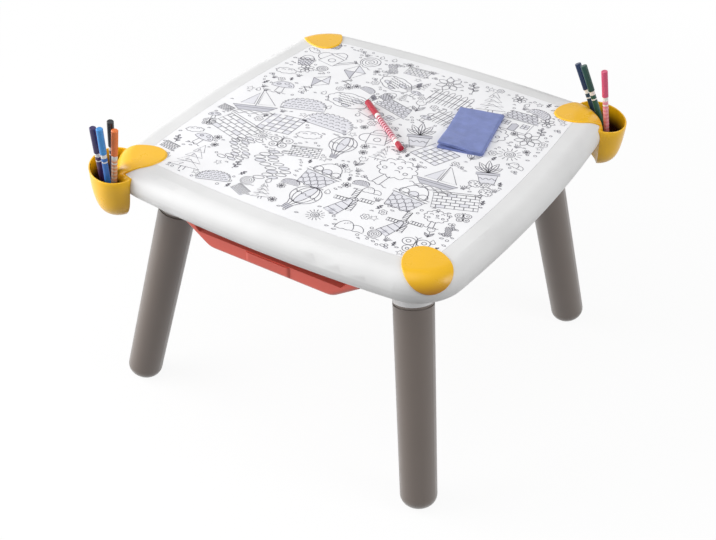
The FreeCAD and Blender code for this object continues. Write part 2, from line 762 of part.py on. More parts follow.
def build_drawer():
    outside = tub_form("tub_outside", "0")
    inside = tub_form("tub_inside", "sizes.drawer_wall")
    adds, reach = [outside], "(sizes.drawer_half + sizes.flange_reach)"
    start = "(-sizes.drawer_front + sizes.front_notch + sizes.notch_slope)"
    for name, low, high in (("flange_left", "-" + reach, "-sizes.drawer_half + sizes.drawer_wall / 2"),
                            ("flange_right", "sizes.drawer_half - sizes.drawer_wall / 2", reach)):
        adds.append(block(name, (low, start, DRAWER_TOP + " - sizes.flange_thick"),
                          (high, "sizes.drawer_back - sizes.drawer_round", DRAWER_TOP)))
    notch = doc.addObject("PartDesign::Body", "front_notch")
    front = "-(sizes.drawer_front + sizes.overrun)"
    low, high = DRAWER_TOP + " - sizes.front_drop", DRAWER_TOP + " + sizes.overrun"
    stop = "(-sizes.drawer_front + sizes.front_notch)"
    pad(notch, polygon(notch, "notch_side", "YZ_Plane",
                       [(front, low), (stop, low), (stop + " + sizes.notch_slope", DRAWER_TOP),
                        (stop + " + sizes.notch_slope", high), (front, high)]),
        "2 * (sizes.drawer_half + sizes.overrun)", True)
    tub = pair("Cut", "notched_tub", fuse("tub_adds", adds), notch)
    keep("drawer", pair("Cut", "drawer_cut", fuse("drawer_adds", [tub] + build_panel()), inside))


def build_runner(side):
    name = "left" if side < 0 else "right"
    sign = "-" if side < 0 else ""
    outer = "(sizes.drawer_half + sizes.flange_reach + sizes.runner_gap)"
    lip = "(%s - sizes.runner_grip)" % outer
    wall = "(%s + sizes.runner_wall)" % outer
    foot = "(%s + sizes.runner_foot)" % wall
    groove = DRAWER_TOP + " - sizes.flange_thick - sizes.runner_gap"
    guide = DRAWER_TOP + " + sizes.runner_gap"
    spots = [(lip, groove + " - sizes.runner_wall"), (wall, groove + " - sizes.runner_wall"),
             (wall, UNDERSIDE + " - sizes.runner_wall"), (foot, UNDERSIDE + " - sizes.runner_wall"),
             (foot, UNDERSIDE), (outer, UNDERSIDE), (outer, guide + " + sizes.runner_wall"),
             (lip, guide + " + sizes.runner_wall"), (lip, guide), (outer, guide), (outer, groove),
             (lip, groove)]
    start = "(-sizes.drawer_front + sizes.front_notch)"
    stop = "(sizes.drawer_back - sizes.drawer_round + sizes.runner_gap)"
    end = "(%s + sizes.runner_wall)" % stop
    rail = doc.addObject("PartDesign::Body", "rail_" + name)
    pad(rail, polygon(rail, "rail_end_" + name, "XZ_Plane", [(sign + x, z) for x, z in spots]),
        "%s - %s" % (end, start), True)
    place(rail, y="(%s + %s) / 2" % (start, end))
    low, high = (lip, outer) if side > 0 else ("-" + outer, "-" + lip)
    buffer = block("rail_stop_" + name, (low, stop, groove), (high, end, guide))
    holes = [rod("rail_hole_%s_%d" % (name, number), "sizes.screw_radius + sizes.screw_gap",
                 "sizes.runner_wall + 2 * sizes.overrun",
                 at_height(spot, UNDERSIDE + " - sizes.runner_wall - sizes.overrun"))
             for number, spot in enumerate(runner_screw_spots(side))]
    whole = fuse("runner_adds_" + name, [rail, buffer])
    keep("drawer_runner_" + name, pair("Cut", "runner_cut_" + name, whole,
                                       fuse("runner_holes_" + name, holes)))


def build_runners():
    screws = []
    for side in (-1, 1):
        build_runner(side)
        for number, spot in enumerate(runner_screw_spots(side)):
            screws.append(screw("runner_screw_%s_%d" % ("left" if side < 0 else "right", number),
                                at_height(spot, UNDERSIDE + " - sizes.runner_wall"),
                                "sizes.runner_wall + sizes.runner_screw_bite - sizes.screw_radius"))
    keep("runner_screws", group("runner_screw_group", screws))


# Felt pens, each a plug, a barrel, a nib and a cap on one axis

def pen_profiles():
    shoulder = "(sizes.pen_length - sizes.pen_cap_length)"
    neck = "(%s + sizes.pen_neck_length)" % shoulder
    bore = "(sizes.pen_radius - sizes.pen_wall)"
    nib_bore = "(sizes.nib_radius + sizes.pen_fit)"
    cap_bore = "(sizes.pen_neck_radius + sizes.pen_fit)"
    cap_foot = shoulder + " + sizes.pen_fit"
    cap_top = "(sizes.pen_length - sizes.pen_cap_end)"
    plug_top = "(sizes.pen_plug + sizes.pen_plug_spigot)"
    return {
        "plug": [("0", "0"), ("sizes.pen_radius", "0"), ("sizes.pen_radius", "sizes.pen_plug"),
                 (bore + " - sizes.pen_fit", "sizes.pen_plug"), (bore + " - sizes.pen_fit", plug_top),
                 ("0", plug_top)],
        "barrel": [(bore, "sizes.pen_plug"), ("sizes.pen_radius", "sizes.pen_plug"),
                   ("sizes.pen_radius", shoulder), ("sizes.pen_neck_radius", shoulder),
                   ("sizes.pen_neck_radius", neck), (nib_bore, neck), (nib_bore, shoulder),
                   (bore, shoulder + " - sizes.pen_wall")],
        "nib": [("0", neck + " - sizes.pen_neck_length - sizes.nib_root"),
                ("sizes.nib_radius", neck + " - sizes.pen_neck_length - sizes.nib_root"),
                ("sizes.nib_radius", neck + " + sizes.nib_reach"),
                ("sizes.nib_point_radius", neck + " + sizes.nib_reach + sizes.nib_point"),
                ("0", neck + " + sizes.nib_reach + sizes.nib_point")],
        "cap": [(cap_bore, cap_foot), ("sizes.pen_cap_radius", cap_foot),
                ("sizes.pen_cap_radius", "sizes.pen_length - sizes.pen_cap_chamfer"),
                ("sizes.pen_cap_radius - sizes.pen_cap_chamfer", "sizes.pen_length"),
                ("0", "sizes.pen_length"), ("0", cap_top), (cap_bore, cap_top)],
    }


def build_pen(colour, foot, direction):
    for piece, profile in pen_profiles().items():
        body = turned("pen_%s_%s_body" % (colour, piece), profile)
        body.Placement = FreeCAD.Placement(foot, FreeCAD.Rotation(UP, direction))
        keep("pen_%s_%s" % (colour, piece), body)


def build_pens():
    floor = value("sizes.top_height - sizes.cup_lip_drop - sizes.cup_depth + sizes.cup_wall")
    middle = corner_reach() + value("sizes.cup_offset")
    reach, half, depth = (value("sizes.cup_" + name) for name in ("reach", "half", "depth"))
    for colour, (corner, *shares) in PEN_PLACE_SHARES.items():
        out_share, across_share, rise_share, lean_out, lean_across = shares
        out, side = outward(corner), across(corner)
        foot = out * (middle + out_share * reach) + side * (across_share * half)
        foot.z = floor + rise_share * depth
        build_pen(colour, foot, (out * lean_out + side * lean_across + UP).normalize())
    turn = math.radians(value("sizes.pen_angle"))
    rise = value("(sizes.pen_cap_radius - sizes.pen_radius) / (sizes.pen_length - sizes.pen_cap_length)")
    along = Vector(math.cos(turn), math.sin(turn), rise).normalize()
    top = value("sizes.top_half")
    foot = Vector(top * RED_PEN_SHARES[0], top * RED_PEN_SHARES[1],
                  value("sizes.top_height + sizes.pen_radius + sizes.rest_gap"))
    build_pen("red", foot, along)


def build_cloth():
    cloth = soft_block("cloth", "sizes.cloth_wide", "sizes.cloth_long", "sizes.cloth_thick",
                       "sizes.cloth_round")
    half = value("sizes.top_half")
    spot = Vector(half * CLOTH_SHARES[0], half * CLOTH_SHARES[1], value("sizes.top_height"))
    cloth.Placement = FreeCAD.Placement(spot, FreeCAD.Rotation(UP, value("sizes.cloth_angle")))
    keep("cleaning_cloth", cloth)


def write_parts():
    doc.recompute()
    for item in doc.Objects:
        if "Invalid" in item.State or "Error" in item.State:
            raise RuntimeError("%s failed: %s" % (item.Name, item.State))
    for label, item in nodes.items():
        if item.Shape.isNull() or not item.Shape.isValid() or not item.Shape.Solids:
            raise RuntimeError("%s has no valid solid" % label)
    os.makedirs("parts", exist_ok=True)
    for label, item in nodes.items():
        item.Shape.exportStep("parts/%s.step" % label)
        print("%-22s %d solids %10.0f mm3" % (label, len(item.Shape.Solids), item.Shape.Volume))


build_top()
build_board()
build_legs()
build_corners()
build_drawer()
build_runners()
build_pens()
build_cloth()
write_parts()
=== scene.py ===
"""Dresses the activity table: moulded plastics, line art on the board, felt pens and a folded cloth."""
import json
import math
import random

import bmesh
import bpy
from mathutils import Matrix, Vector, noise


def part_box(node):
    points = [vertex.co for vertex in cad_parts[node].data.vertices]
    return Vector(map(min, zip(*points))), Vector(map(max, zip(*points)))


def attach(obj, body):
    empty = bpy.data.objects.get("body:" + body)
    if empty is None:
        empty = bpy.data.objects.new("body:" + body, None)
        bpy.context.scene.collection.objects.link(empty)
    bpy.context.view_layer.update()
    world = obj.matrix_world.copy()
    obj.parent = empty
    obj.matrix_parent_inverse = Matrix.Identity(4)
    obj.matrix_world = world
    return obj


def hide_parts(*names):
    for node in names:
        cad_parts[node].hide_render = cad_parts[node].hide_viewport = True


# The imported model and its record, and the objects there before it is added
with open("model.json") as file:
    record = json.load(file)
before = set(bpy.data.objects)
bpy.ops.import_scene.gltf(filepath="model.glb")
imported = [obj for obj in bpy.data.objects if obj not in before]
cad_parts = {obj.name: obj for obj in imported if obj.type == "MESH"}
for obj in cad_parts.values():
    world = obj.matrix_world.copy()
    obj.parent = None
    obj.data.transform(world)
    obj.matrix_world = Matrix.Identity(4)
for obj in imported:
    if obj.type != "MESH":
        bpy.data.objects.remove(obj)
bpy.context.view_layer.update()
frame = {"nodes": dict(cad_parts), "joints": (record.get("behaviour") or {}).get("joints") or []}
nodes = frame["nodes"]
joints = {joint["name"]: joint for joint in frame["joints"]}
scene = bpy.context.scene

MM = 0.001
PEN_COLOURS = ("navy", "sky", "black", "orange", "blue", "green", "pink", "red")


def paint(red, green, blue):
    """Display values from 0 to 255, as the linear colour that a shader takes."""
    def linear(level):
        share = level / 255
        return share / 12.92 if share <= 0.04045 else ((share + 0.055) / 1.055) ** 2.4
    return (linear(red), linear(green), linear(blue), 1.0)


# Colours, and the shine of the duller surfaces
SATIN_SHINE = 0.3
INK_SHINE = 0.15
WHITE = paint(233, 233, 233)
TAUPE = paint(103, 91, 83)
YELLOW = paint(250, 192, 14)
# Painted shade for the lower edge of the corner caps
YELLOW_PAINTED_SHADE = paint(176, 112, 5)
# Painted shade for the walls deep inside the pen cups
CUP_PAINTED_SHADE = paint(54, 23, 9)
CORAL = paint(226, 99, 84)
BOARD_WHITE = paint(252, 252, 254)
INK = paint(116, 114, 124)
INK_WASH = paint(236, 236, 242)
INK_TONE = paint(208, 208, 216)
CLOTH_BLUE = paint(122, 136, 194)
STEEL = paint(176, 177, 180)
PEN_BODY = paint(240, 238, 234)
FELT = paint(60, 56, 58)
CAP_PAINTS = {
    "navy": paint(52, 38, 92), "sky": paint(64, 150, 222), "black": paint(34, 36, 42),
    "orange": paint(240, 122, 52), "blue": paint(18, 44, 82), "green": paint(14, 68, 60),
    "pink": paint(214, 82, 118), "red": paint(178, 22, 52),
}
SLEEVE_PAINTS = {
    "navy": paint(66, 40, 88), "sky": paint(44, 112, 196), "black": paint(52, 66, 92),
    "orange": paint(246, 214, 186), "blue": paint(26, 58, 82), "green": paint(26, 84, 72),
    "pink": paint(238, 172, 184), "red": paint(234, 180, 190),
}
# Pens whose sleeves carry marks in a second colour
MARK_PAINTS = {"red": paint(160, 24, 58), "pink": paint(232, 140, 160), "orange": paint(242, 170, 120)}


# Camera: where the photograph was taken from, in degrees and metres, with the lens in millimetres

CAMERA_AZIMUTH = 32.11
CAMERA_ELEVATION = 36.465
CAMERA_ROLL = 0.843
CAMERA_DISTANCE = 1.917
CAMERA_LENS = 57.47
SENSOR_WIDTH = 36
AIM_HEIGHT = 0.25
AIM_RIGHT = -0.01153
AIM_UP = -0.07053


def build_camera():
    """Looks from the photograph's side at a spot near the table's middle."""
    azimuth, elevation = math.radians(CAMERA_AZIMUTH), math.radians(CAMERA_ELEVATION)
    back = Vector((math.sin(azimuth) * math.cos(elevation),
                   -math.cos(azimuth) * math.cos(elevation), math.sin(elevation)))
    right = Vector((math.cos(azimuth), math.sin(azimuth), 0))
    up = back.cross(right)
    place = Vector((0, 0, AIM_HEIGHT)) + right * AIM_RIGHT + up * AIM_UP + back * CAMERA_DISTANCE
    level = Matrix((right, up, back)).transposed().to_4x4()
    camera = bpy.data.objects.new("camera", bpy.data.cameras.new("camera"))
    scene.collection.objects.link(camera)
    camera.data.sensor_width = SENSOR_WIDTH
    camera.data.lens = CAMERA_LENS
    roll = Matrix.Rotation(math.radians(CAMERA_ROLL), 4, "Z")
    camera.matrix_world = Matrix.Translation(place) @ level @ roll
    scene.camera = camera


# Studio: a pale floor, a pale sky and soft lamps, in metres and watts

SKY_LIGHT = 0.3
FLOOR_HALF = 6.0
FLOOR_BOUNCE = 0.34
FLOOR_GLOW_SHARE = 0.92
FLOOR_FADE_START = 0.6
FLOOR_FADE_END = 1.9
LAMP_AIM = (0, 0, 0.3)
LAMPS = {
    "key_left": {"place": (-2.24, -1.3, 1.15), "size": 2.8, "power": 94},
    "fill_right": {"place": (2.34, 0.26, 1.5), "size": 1.4, "power": 23},
    "overhead": {"place": (-0.1, -0.7, 2.1), "size": 1.8, "power": 10},
}


def build_studio():
    scene.view_settings.view_transform = "Standard"
    world = bpy.data.worlds.new("studio")
    scene.world = world
    world.use_nodes = True
    tree = world.node_tree
    sky = tree.nodes["Background"]
    sky.inputs["Color"].default_value = (1, 1, 1, 1)
    strength = node(tree, "MapRange")
    feed(tree, strength, Value=seen_rays(tree), To_Min=SKY_LIGHT, To_Max=1.0)
    tree.links.new(strength.outputs[0], sky.inputs["Strength"])
    for name, lamp in LAMPS.items():
        light = bpy.data.lights.new(name, "AREA")
        light.shape = "DISK"
        light.size = lamp["size"]
        light.energy = lamp["power"]
        item = bpy.data.objects.new(name, light)
        scene.collection.objects.link(item)
        item.location = lamp["place"]
        towards = Vector(LAMP_AIM) - item.location
        item.rotation_euler = towards.to_track_quat("-Z", "Y").to_euler()
    build_floor()


def seen_rays(tree):
    """One for rays that show the background: straight, mirrored or through glass."""
    rays = node(tree, "LightPath")
    mirrored = node(tree, "Math", operation="MAXIMUM")
    feed(tree, mirrored, i0=rays.outputs["Is Glossy Ray"], i1=rays.outputs["Is Transmission Ray"])
    seen = node(tree, "Math", operation="MAXIMUM")
    feed(tree, seen, i0=rays.outputs["Is Camera Ray"], i1=mirrored.outputs[0])
    return seen.outputs[0]


def build_floor():
    """A white floor that keeps a soft shadow near the table, and fades into the background further out."""
    mesh = bpy.data.meshes.new("floor")
    corners = [(-FLOOR_HALF, -FLOOR_HALF, 0), (FLOOR_HALF, -FLOOR_HALF, 0),
               (FLOOR_HALF, FLOOR_HALF, 0), (-FLOOR_HALF, FLOOR_HALF, 0)]
    mesh.from_pydata(corners, [], [(0, 1, 2, 3)])
    floor = bpy.data.objects.new("floor", mesh)
    scene.collection.objects.link(floor)
    material, tree, shader = new_material("floor_white")
    seen = seen_rays(tree)
    tone = node(tree, "MapRange")
    feed(tree, tone, Value=seen, To_Min=FLOOR_BOUNCE, To_Max=1.0)
    tree.links.new(tone.outputs[0], shader.inputs["Base Color"])
    shader.inputs["Roughness"].default_value = 0.9
    shader.inputs["Specular IOR Level"].default_value = 0.0
    reach = node(tree, "VectorMath", operation="LENGTH")
    feed(tree, reach, i0=node(tree, "TexCoord").outputs["Object"])
    fade = node(tree, "MapRange", interpolation_type="SMOOTHSTEP")
    feed(tree, fade, Value=reach.outputs["Value"], From_Min=FLOOR_FADE_START, From_Max=FLOOR_FADE_END,
         To_Min=FLOOR_GLOW_SHARE, To_Max=1.0)
    share = node(tree, "Math", operation="MULTIPLY")
    feed(tree, share, i0=seen, i1=fade.outputs[0])
    mix = node(tree, "MixShader")
    feed(tree, mix, i0=share.outputs[0], i1=shader.outputs[0], i2=node(tree, "Emission").outputs[0])
    tree.links.new(mix.outputs[0], tree.nodes["Material Output"].inputs["Surface"])
    mesh.materials.append(material)


# Shader building

GRAIN_DEPTH = 0.25 * MM


def new_material(name):
    material = bpy.data.materials.new(name)
    material.use_nodes = True
    tree = material.node_tree
    return material, tree, tree.nodes["Principled BSDF"]


def new_group(name, inputs, outputs):
    """An empty shader group with named sockets, and its ends."""
    group = bpy.data.node_groups.new(name, "ShaderNodeTree")
    for label, kind, value in inputs:
        socket = group.interface.new_socket(name=label, in_out="INPUT", socket_type="NodeSocket" + kind)
        socket.default_value = value
    for label, kind in outputs:
        group.interface.new_socket(name=label, in_out="OUTPUT", socket_type="NodeSocket" + kind)
    return group, group.nodes.new("NodeGroupInput"), group.nodes.new("NodeGroupOutput")


def node(tree, kind, **settings):
    made = tree.nodes.new("ShaderNode" + kind)
    for name, value in settings.items():
        setattr(made, name, value)
    return made


def feed(tree, target, **sources):
    """Links sources to a node's inputs, or sets values there: i0 is the first input, and _ is a space."""
    for name, source in sources.items():
        if name[0] == "i" and name[1:].isdigit():
            socket = target.inputs[int(name[1:])]
        else:
            socket = target.inputs[name.replace("_", " ")]
        if isinstance(source, bpy.types.NodeSocket):
            tree.links.new(source, socket)
        else:
            socket.default_value = source


def speckle(tree, place, scale, low, high, detail=2.0):
    """Noise over a place, brought to a range."""
    cloud = node(tree, "TexNoise")
    feed(tree, cloud, Vector=place, Scale=scale, Detail=detail)
    span = node(tree, "MapRange")
    feed(tree, span, Value=cloud.outputs["Fac"], From_Min=0.3, From_Max=0.7, To_Min=low, To_Max=high)
    return span.outputs[0]


def tinted(tree, colour, factor):
    """A colour made lighter or darker by a factor."""
    mix = node(tree, "Mix", data_type="RGBA", blend_type="MULTIPLY")
    feed(tree, mix, i0=1.0, i6=colour, i7=factor)
    return mix.outputs[2]


def build_moulding():
    """Moulded plastic: a fine grain, slow changes of tone, and rubbed patches that shine differently."""
    group, start, end = new_group(
        "moulded_surface",
        [("Colour", "Color", WHITE), ("Roughness", "Float", 0.4), ("Rubbing", "Float", 0.06),
         ("Grain", "Float", 0.1), ("Grain Scale", "Float", 900.0)],
        [("Colour", "Color"), ("Roughness", "Float"), ("Normal", "Vector")])
    place = node(group, "TexCoord").outputs["Object"]
    tone = speckle(group, place, scale=14.0, low=0.965, high=1.03)
    group.links.new(tinted(group, start.outputs["Colour"], tone), end.inputs["Colour"])
    patches = speckle(group, place, scale=46.0, low=-1.0, high=1.0, detail=4.0)
    rubbed = node(group, "Math", operation="MULTIPLY_ADD")
    feed(group, rubbed, i0=patches, i1=start.outputs["Rubbing"], i2=start.outputs["Roughness"])
    group.links.new(rubbed.outputs[0], end.inputs["Roughness"])
    grain = node(group, "TexNoise")
    feed(group, grain, Vector=place, Scale=start.outputs["Grain Scale"], Detail=2.0)
    bump = node(group, "Bump")
    feed(group, bump, Height=grain.outputs["Fac"], Strength=start.outputs["Grain"], Distance=GRAIN_DEPTH)
    group.links.new(bump.outputs[0], end.inputs["Normal"])
    return group


def moulded(name, moulding, colour, roughness, rubbing=0.06, grain=0.1, grain_scale=900.0, shine=0.5):
    """A plastic material with the moulded surface."""
    material, tree, shader = new_material(name)
    shader.inputs["Specular IOR Level"].default_value = shine
    surface = node(tree, "Group", node_tree=moulding)
    feed(tree, surface, Colour=colour, Roughness=roughness, Rubbing=rubbing, Grain=grain,
         Grain_Scale=grain_scale)
    tree.links.new(surface.outputs["Colour"], shader.inputs["Base Color"])
    tree.links.new(surface.outputs["Roughness"], shader.inputs["Roughness"])
    tree.links.new(surface.outputs["Normal"], shader.inputs["Normal"])
    return material


def colour_by(material, moulding, source):
    """Feeds a varying colour to the moulded surface of a material."""
    tree = material.node_tree
    surface = next(item for item in tree.nodes if item.type == "GROUP" and item.node_tree == moulding)
    tree.links.new(source, surface.inputs["Colour"])


def dress(material, *names):
    """Gives a material to CAD nodes, in every slot."""
    for name in names:
        mesh = nodes[name].data
        mesh.materials.clear()
        mesh.materials.append(material)


# The legs' soft bright edges
LEG_LUSTRE = {"Sheen Weight": 0.8, "Sheen Roughness": 0.3, "Coat Weight": 0.8, "Coat Roughness": 0.4}


def dress_table(moulding):
    white = moulded("white_moulding", moulding, WHITE, roughness=0.46, rubbing=0.05, grain=0.08,
                    grain_scale=700.0, shine=SATIN_SHINE)
    dress(white, "table_top", "table_underside", "drawer_runner_left", "drawer_runner_right")
    taupe = moulded("taupe_moulding", moulding, TAUPE, roughness=0.38, rubbing=0.05, grain=0.16,
                    grain_scale=800.0)
    for socket, value in LEG_LUSTRE.items():
        taupe.node_tree.nodes["Principled BSDF"].inputs[socket].default_value = value
    dress(taupe, "leg_left", "leg_front", "leg_right", "leg_back")
    dress_caps(moulding)
    coral = moulded("coral_moulding", moulding, CORAL, roughness=0.32, rubbing=0.05, grain=0.07)
    dress(coral, "drawer")
    laminate = moulded("board_laminate", moulding, BOARD_WHITE, roughness=0.5, rubbing=0.04, grain=0.05,
                       grain_scale=1200.0, shine=SATIN_SHINE)
    dress(laminate, "drawing_board")
    steel = moulded("zinc_steel", moulding, STEEL, roughness=0.34, rubbing=0.1, grain=0.1, grain_scale=1500.0)
    steel.node_tree.nodes["Principled BSDF"].inputs["Metallic"].default_value = 1.0
    dress(steel, "shell_screws", "runner_screws")


# Corner caps: shade painted into the yellow, which goes dark where they turn under the rim

CAP_SHADE_LOW = 402 * MM
CAP_SHADE_HIGH = 430 * MM


def yellow_plastic(name, moulding):
    return moulded(name, moulding, YELLOW, roughness=0.3, rubbing=0.05, grain=0.06)


def dress_caps(moulding):
    material = yellow_plastic("cap_yellow_painted_shade", moulding)
    tree = material.node_tree
    place = node(tree, "SeparateXYZ")
    feed(tree, place, i0=node(tree, "TexCoord").outputs["Object"])
    # Painted shade: the cap's yellow goes darker towards its lower edge
    turn = node(tree, "MapRange", interpolation_type="SMOOTHSTEP")
    feed(tree, turn, Value=place.outputs["Z"], From_Min=CAP_SHADE_LOW, From_Max=CAP_SHADE_HIGH)
    mix = node(tree, "Mix", data_type="RGBA")
    feed(tree, mix, i0=turn.outputs[0], i6=YELLOW_PAINTED_SHADE, i7=YELLOW)
    colour_by(material, moulding, mix.outputs[2])
    dress(material, "corner_cap_front", "corner_cap_back")


# Pen cups: the same yellow, with shade painted on the walls down inside

CUP_LIP = 420 * MM
CUP_SHADE_START = CUP_LIP - 1.52 * MM
CUP_SHADE_END = CUP_LIP - 31.92 * MM
CUP_BASE_BAND = 1 * MM


def build_cup_painted_shade():
    """Paints shade on the inner walls of a cup, darker with depth, and leaves its outside alone."""
    group, start, end = new_group(
        "cup_painted_shade",
        [("Colour", "Color", YELLOW), ("Painted Shade", "Color", CUP_PAINTED_SHADE), ("Centre", "Vector", (0, 0, 0))],
        [("Colour", "Color")])
    coords = node(group, "TexCoord")
    inward = node(group, "VectorMath", operation="SUBTRACT")
    feed(group, inward, i0=start.outputs["Centre"], i1=coords.outputs["Object"])
    level = node(group, "VectorMath", operation="MULTIPLY")
    feed(group, level, i0=inward.outputs[0], i1=(1, 1, 0))
    heading = node(group, "VectorMath", operation="NORMALIZE")
    feed(group, heading, i0=level.outputs[0])
    facing = node(group, "VectorMath", operation="DOT_PRODUCT")
    feed(group, facing, i0=coords.outputs["Normal"], i1=heading.outputs[0])
    inner = node(group, "MapRange", interpolation_type="SMOOTHSTEP")
    feed(group, inner, Value=facing.outputs["Value"], From_Min=-0.3, From_Max=0.25)
    place, normal = node(group, "SeparateXYZ"), node(group, "SeparateXYZ")
    feed(group, place, i0=coords.outputs["Object"])
    feed(group, normal, i0=coords.outputs["Normal"])
    depth = node(group, "MapRange", interpolation_type="SMOOTHSTEP")
    feed(group, depth, Value=place.outputs["Z"], From_Min=CUP_SHADE_START, From_Max=CUP_SHADE_END)
    under = node(group, "MapRange")
    feed(group, under, Value=normal.outputs["Z"], From_Min=-0.5, From_Max=-0.1)
    shade = node(group, "Math", operation="MULTIPLY")
    feed(group, shade, i0=inner.outputs[0], i1=depth.outputs[0])
    mask = node(group, "Math", operation="MULTIPLY")
    feed(group, mask, i0=shade.outputs[0], i1=under.outputs[0])
    mix = node(group, "Mix", data_type="RGBA")
    feed(group, mix, i0=mask.outputs[0], i6=start.outputs["Colour"], i7=start.outputs["Painted Shade"])
    group.links.new(mix.outputs[2], end.inputs["Colour"])
    return group


def dress_cups(moulding, cup_shade_group):
    """Yellow cups, each with shade painted on the walls that face the middle of its base."""
    for name in ("pen_cup_left", "pen_cup_right"):
        spots = [vertex.co for vertex in nodes[name].data.vertices]
        lowest = min(spot.z for spot in spots)
        base = [spot for spot in spots if spot.z < lowest + CUP_BASE_BAND]
        centre = sum(base, Vector()) / len(base)
        material = yellow_plastic(name + "_yellow", moulding)
        tree = material.node_tree
        shaded = node(tree, "Group", node_tree=cup_shade_group)
        feed(tree, shaded, Colour=YELLOW, Centre=centre)
        colour_by(material, moulding, shaded.outputs["Colour"])
        dress(material, name)


# Felt pens: a printed sleeve round each barrel, measured along the pen from its foot

SLEEVE_START = 24 * MM
SLEEVE_END = 103 * MM
SLEEVE_RING = 2.2 * MM
LOW_RING = SLEEVE_START + 2 * SLEEVE_RING
HIGH_RING = SLEEVE_END - 4 * SLEEVE_RING
MARK_STEP = 3.4 * MM


def build_sleeve():
    """The printed sleeve of a pen: a coloured stretch with a pale ring near each end, and fine marks."""
    group, start, end = new_group(
        "pen_sleeve",
        [("Along", "Float", 0.0), ("Sleeve", "Color", PEN_BODY), ("Marks", "Color", PEN_BODY),
         ("Ground", "Color", PEN_BODY)],
        [("Colour", "Color")])
    along = start.outputs["Along"]

    def between(low, high):
        above = node(group, "Math", operation="GREATER_THAN")
        feed(group, above, i0=along, i1=low)
        under = node(group, "Math", operation="LESS_THAN")
        feed(group, under, i0=along, i1=high)
        both = node(group, "Math", operation="MULTIPLY")
        feed(group, both, i0=above.outputs[0], i1=under.outputs[0])
        return both.outputs[0]

    def over(base, colour, mask):
        mix = node(group, "Mix", data_type="RGBA")
        feed(group, mix, i0=mask, i6=base, i7=colour)
        return mix.outputs[2]

    beat = node(group, "Math", operation="PINGPONG")
    feed(group, beat, i0=along, i1=MARK_STEP)
    dash = node(group, "Math", operation="GREATER_THAN")
    feed(group, dash, i0=beat.outputs[0], i1=MARK_STEP / 2)
    sleeve_colour = over(start.outputs["Sleeve"], start.outputs["Marks"], dash.outputs[0])
    colour = over(start.outputs["Ground"], sleeve_colour, between(SLEEVE_START, SLEEVE_END))
    low_ring = between(LOW_RING, LOW_RING + SLEEVE_RING)
    high_ring = between(HIGH_RING, HIGH_RING + SLEEVE_RING)
    colour = over(colour, start.outputs["Ground"], low_ring)
    colour = over(colour, start.outputs["Ground"], high_ring)
    group.links.new(colour, end.inputs["Colour"])
    return group


def dress_pens(moulding, sleeve):
    """Glossy caps and plugs, felt nibs, and barrels with their sleeves."""
    felt = moulded("pressed_felt", moulding, FELT, roughness=0.9, rubbing=0.05, grain=0.5, grain_scale=2500.0)
    for colour in PEN_COLOURS:
        pen = "pen_" + colour
        gloss = moulded(pen + "_gloss", moulding, CAP_PAINTS[colour], roughness=0.28, rubbing=0.05,
                        grain=0.04, grain_scale=1500.0)
        dress(gloss, pen + "_cap", pen + "_plug")
        dress(felt, pen + "_nib")
        axis = Vector(joints[pen + "_cap_pull"]["axis"]).normalized()
        foot = min(vertex.co.dot(axis) for vertex in nodes[pen + "_plug"].data.vertices)
        barrel = moulded(pen + "_barrel", moulding, PEN_BODY, roughness=0.3, grain=0.03)
        tree = barrel.node_tree
        along = node(tree, "VectorMath", operation="DOT_PRODUCT")
        feed(tree, along, i0=node(tree, "TexCoord").outputs["Object"], i1=axis)
        distance = node(tree, "Math", operation="SUBTRACT")
        feed(tree, distance, i0=along.outputs["Value"], i1=foot)
        print_layer = node(tree, "Group", node_tree=sleeve)
        feed(tree, print_layer, Along=distance.outputs[0], Sleeve=SLEEVE_PAINTS[colour],
             Marks=MARK_PAINTS.get(colour, SLEEVE_PAINTS[colour]))
        colour_by(barrel, moulding, print_layer.outputs["Colour"])
        dress(barrel, pen + "_barrel")


# Line art on the board: each drawing gives lines, pale fills and darker fills, within a unit circle

# Degrees of an arc between two points, and points on each bump, ripple, leaf edge and turn of a spiral
ARC_STEP = 16
ARC_LEAST_STEPS = 6
BUMP_POINTS = 6
RIPPLE_POINTS = 8
LEAF_POINTS = 8
SPIRAL_POINTS = 14
# How much of a leaf's length its rib takes
LEAF_RIB = 0.8


def arc(x, y, wide, tall=None, start=0.0, end=360.0):
    tall = wide if tall is None else tall
    steps = max(ARC_LEAST_STEPS, int(abs(end - start) / ARC_STEP))
    turns = [math.radians(start + (end - start) * step / steps) for step in range(steps + 1)]
    return [(x + wide * math.cos(turn), y + tall * math.sin(turn)) for turn in turns]


def bumpy(x, y, wide, tall, bumps, start=0.0, end=360.0, depth=0.16):
    """An outline of bumps, as of a cloud or a bush."""
    points = []
    for step in range(bumps * BUMP_POINTS + 1):
        share = step / (bumps * BUMP_POINTS)
        turn = math.radians(start + (end - start) * share)
        swell = 1 - depth + depth * abs(math.sin(math.pi * bumps * share))
        points.append((x + wide * swell * math.cos(turn), y + tall * swell * math.sin(turn)))
    return points


def leaf(x, y, length, width, angle):
    """A leaf's outline and its middle rib, from its stalk."""
    turn = math.radians(angle)
    ahead, side = (math.cos(turn), math.sin(turn)), (-math.sin(turn), math.cos(turn))
    rise = [(step / LEAF_POINTS, math.sin(math.pi * step / LEAF_POINTS)) for step in range(LEAF_POINTS + 1)]
    edge = [(t, width * s) for t, s in rise] + [(t, -width * s) for t, s in reversed(rise[:-1])]
    outline = [(x + ahead[0] * length * t + side[0] * s, y + ahead[1] * length * t + side[1] * s)
               for t, s in edge]
    rib = [(x, y), (x + ahead[0] * length * LEAF_RIB, y + ahead[1] * length * LEAF_RIB)]
    return [outline, rib]


def spiral(x, y, radius, turns):
    steps = int(turns * SPIRAL_POINTS)
    points = []
    for step in range(steps + 1):
        out, turn = radius * step / steps, 2 * math.pi * turns * step / steps
        points.append((x + out * math.cos(turn), y + out * math.sin(turn)))
    return points


def closed(*points):
    return list(points) + [points[0]]


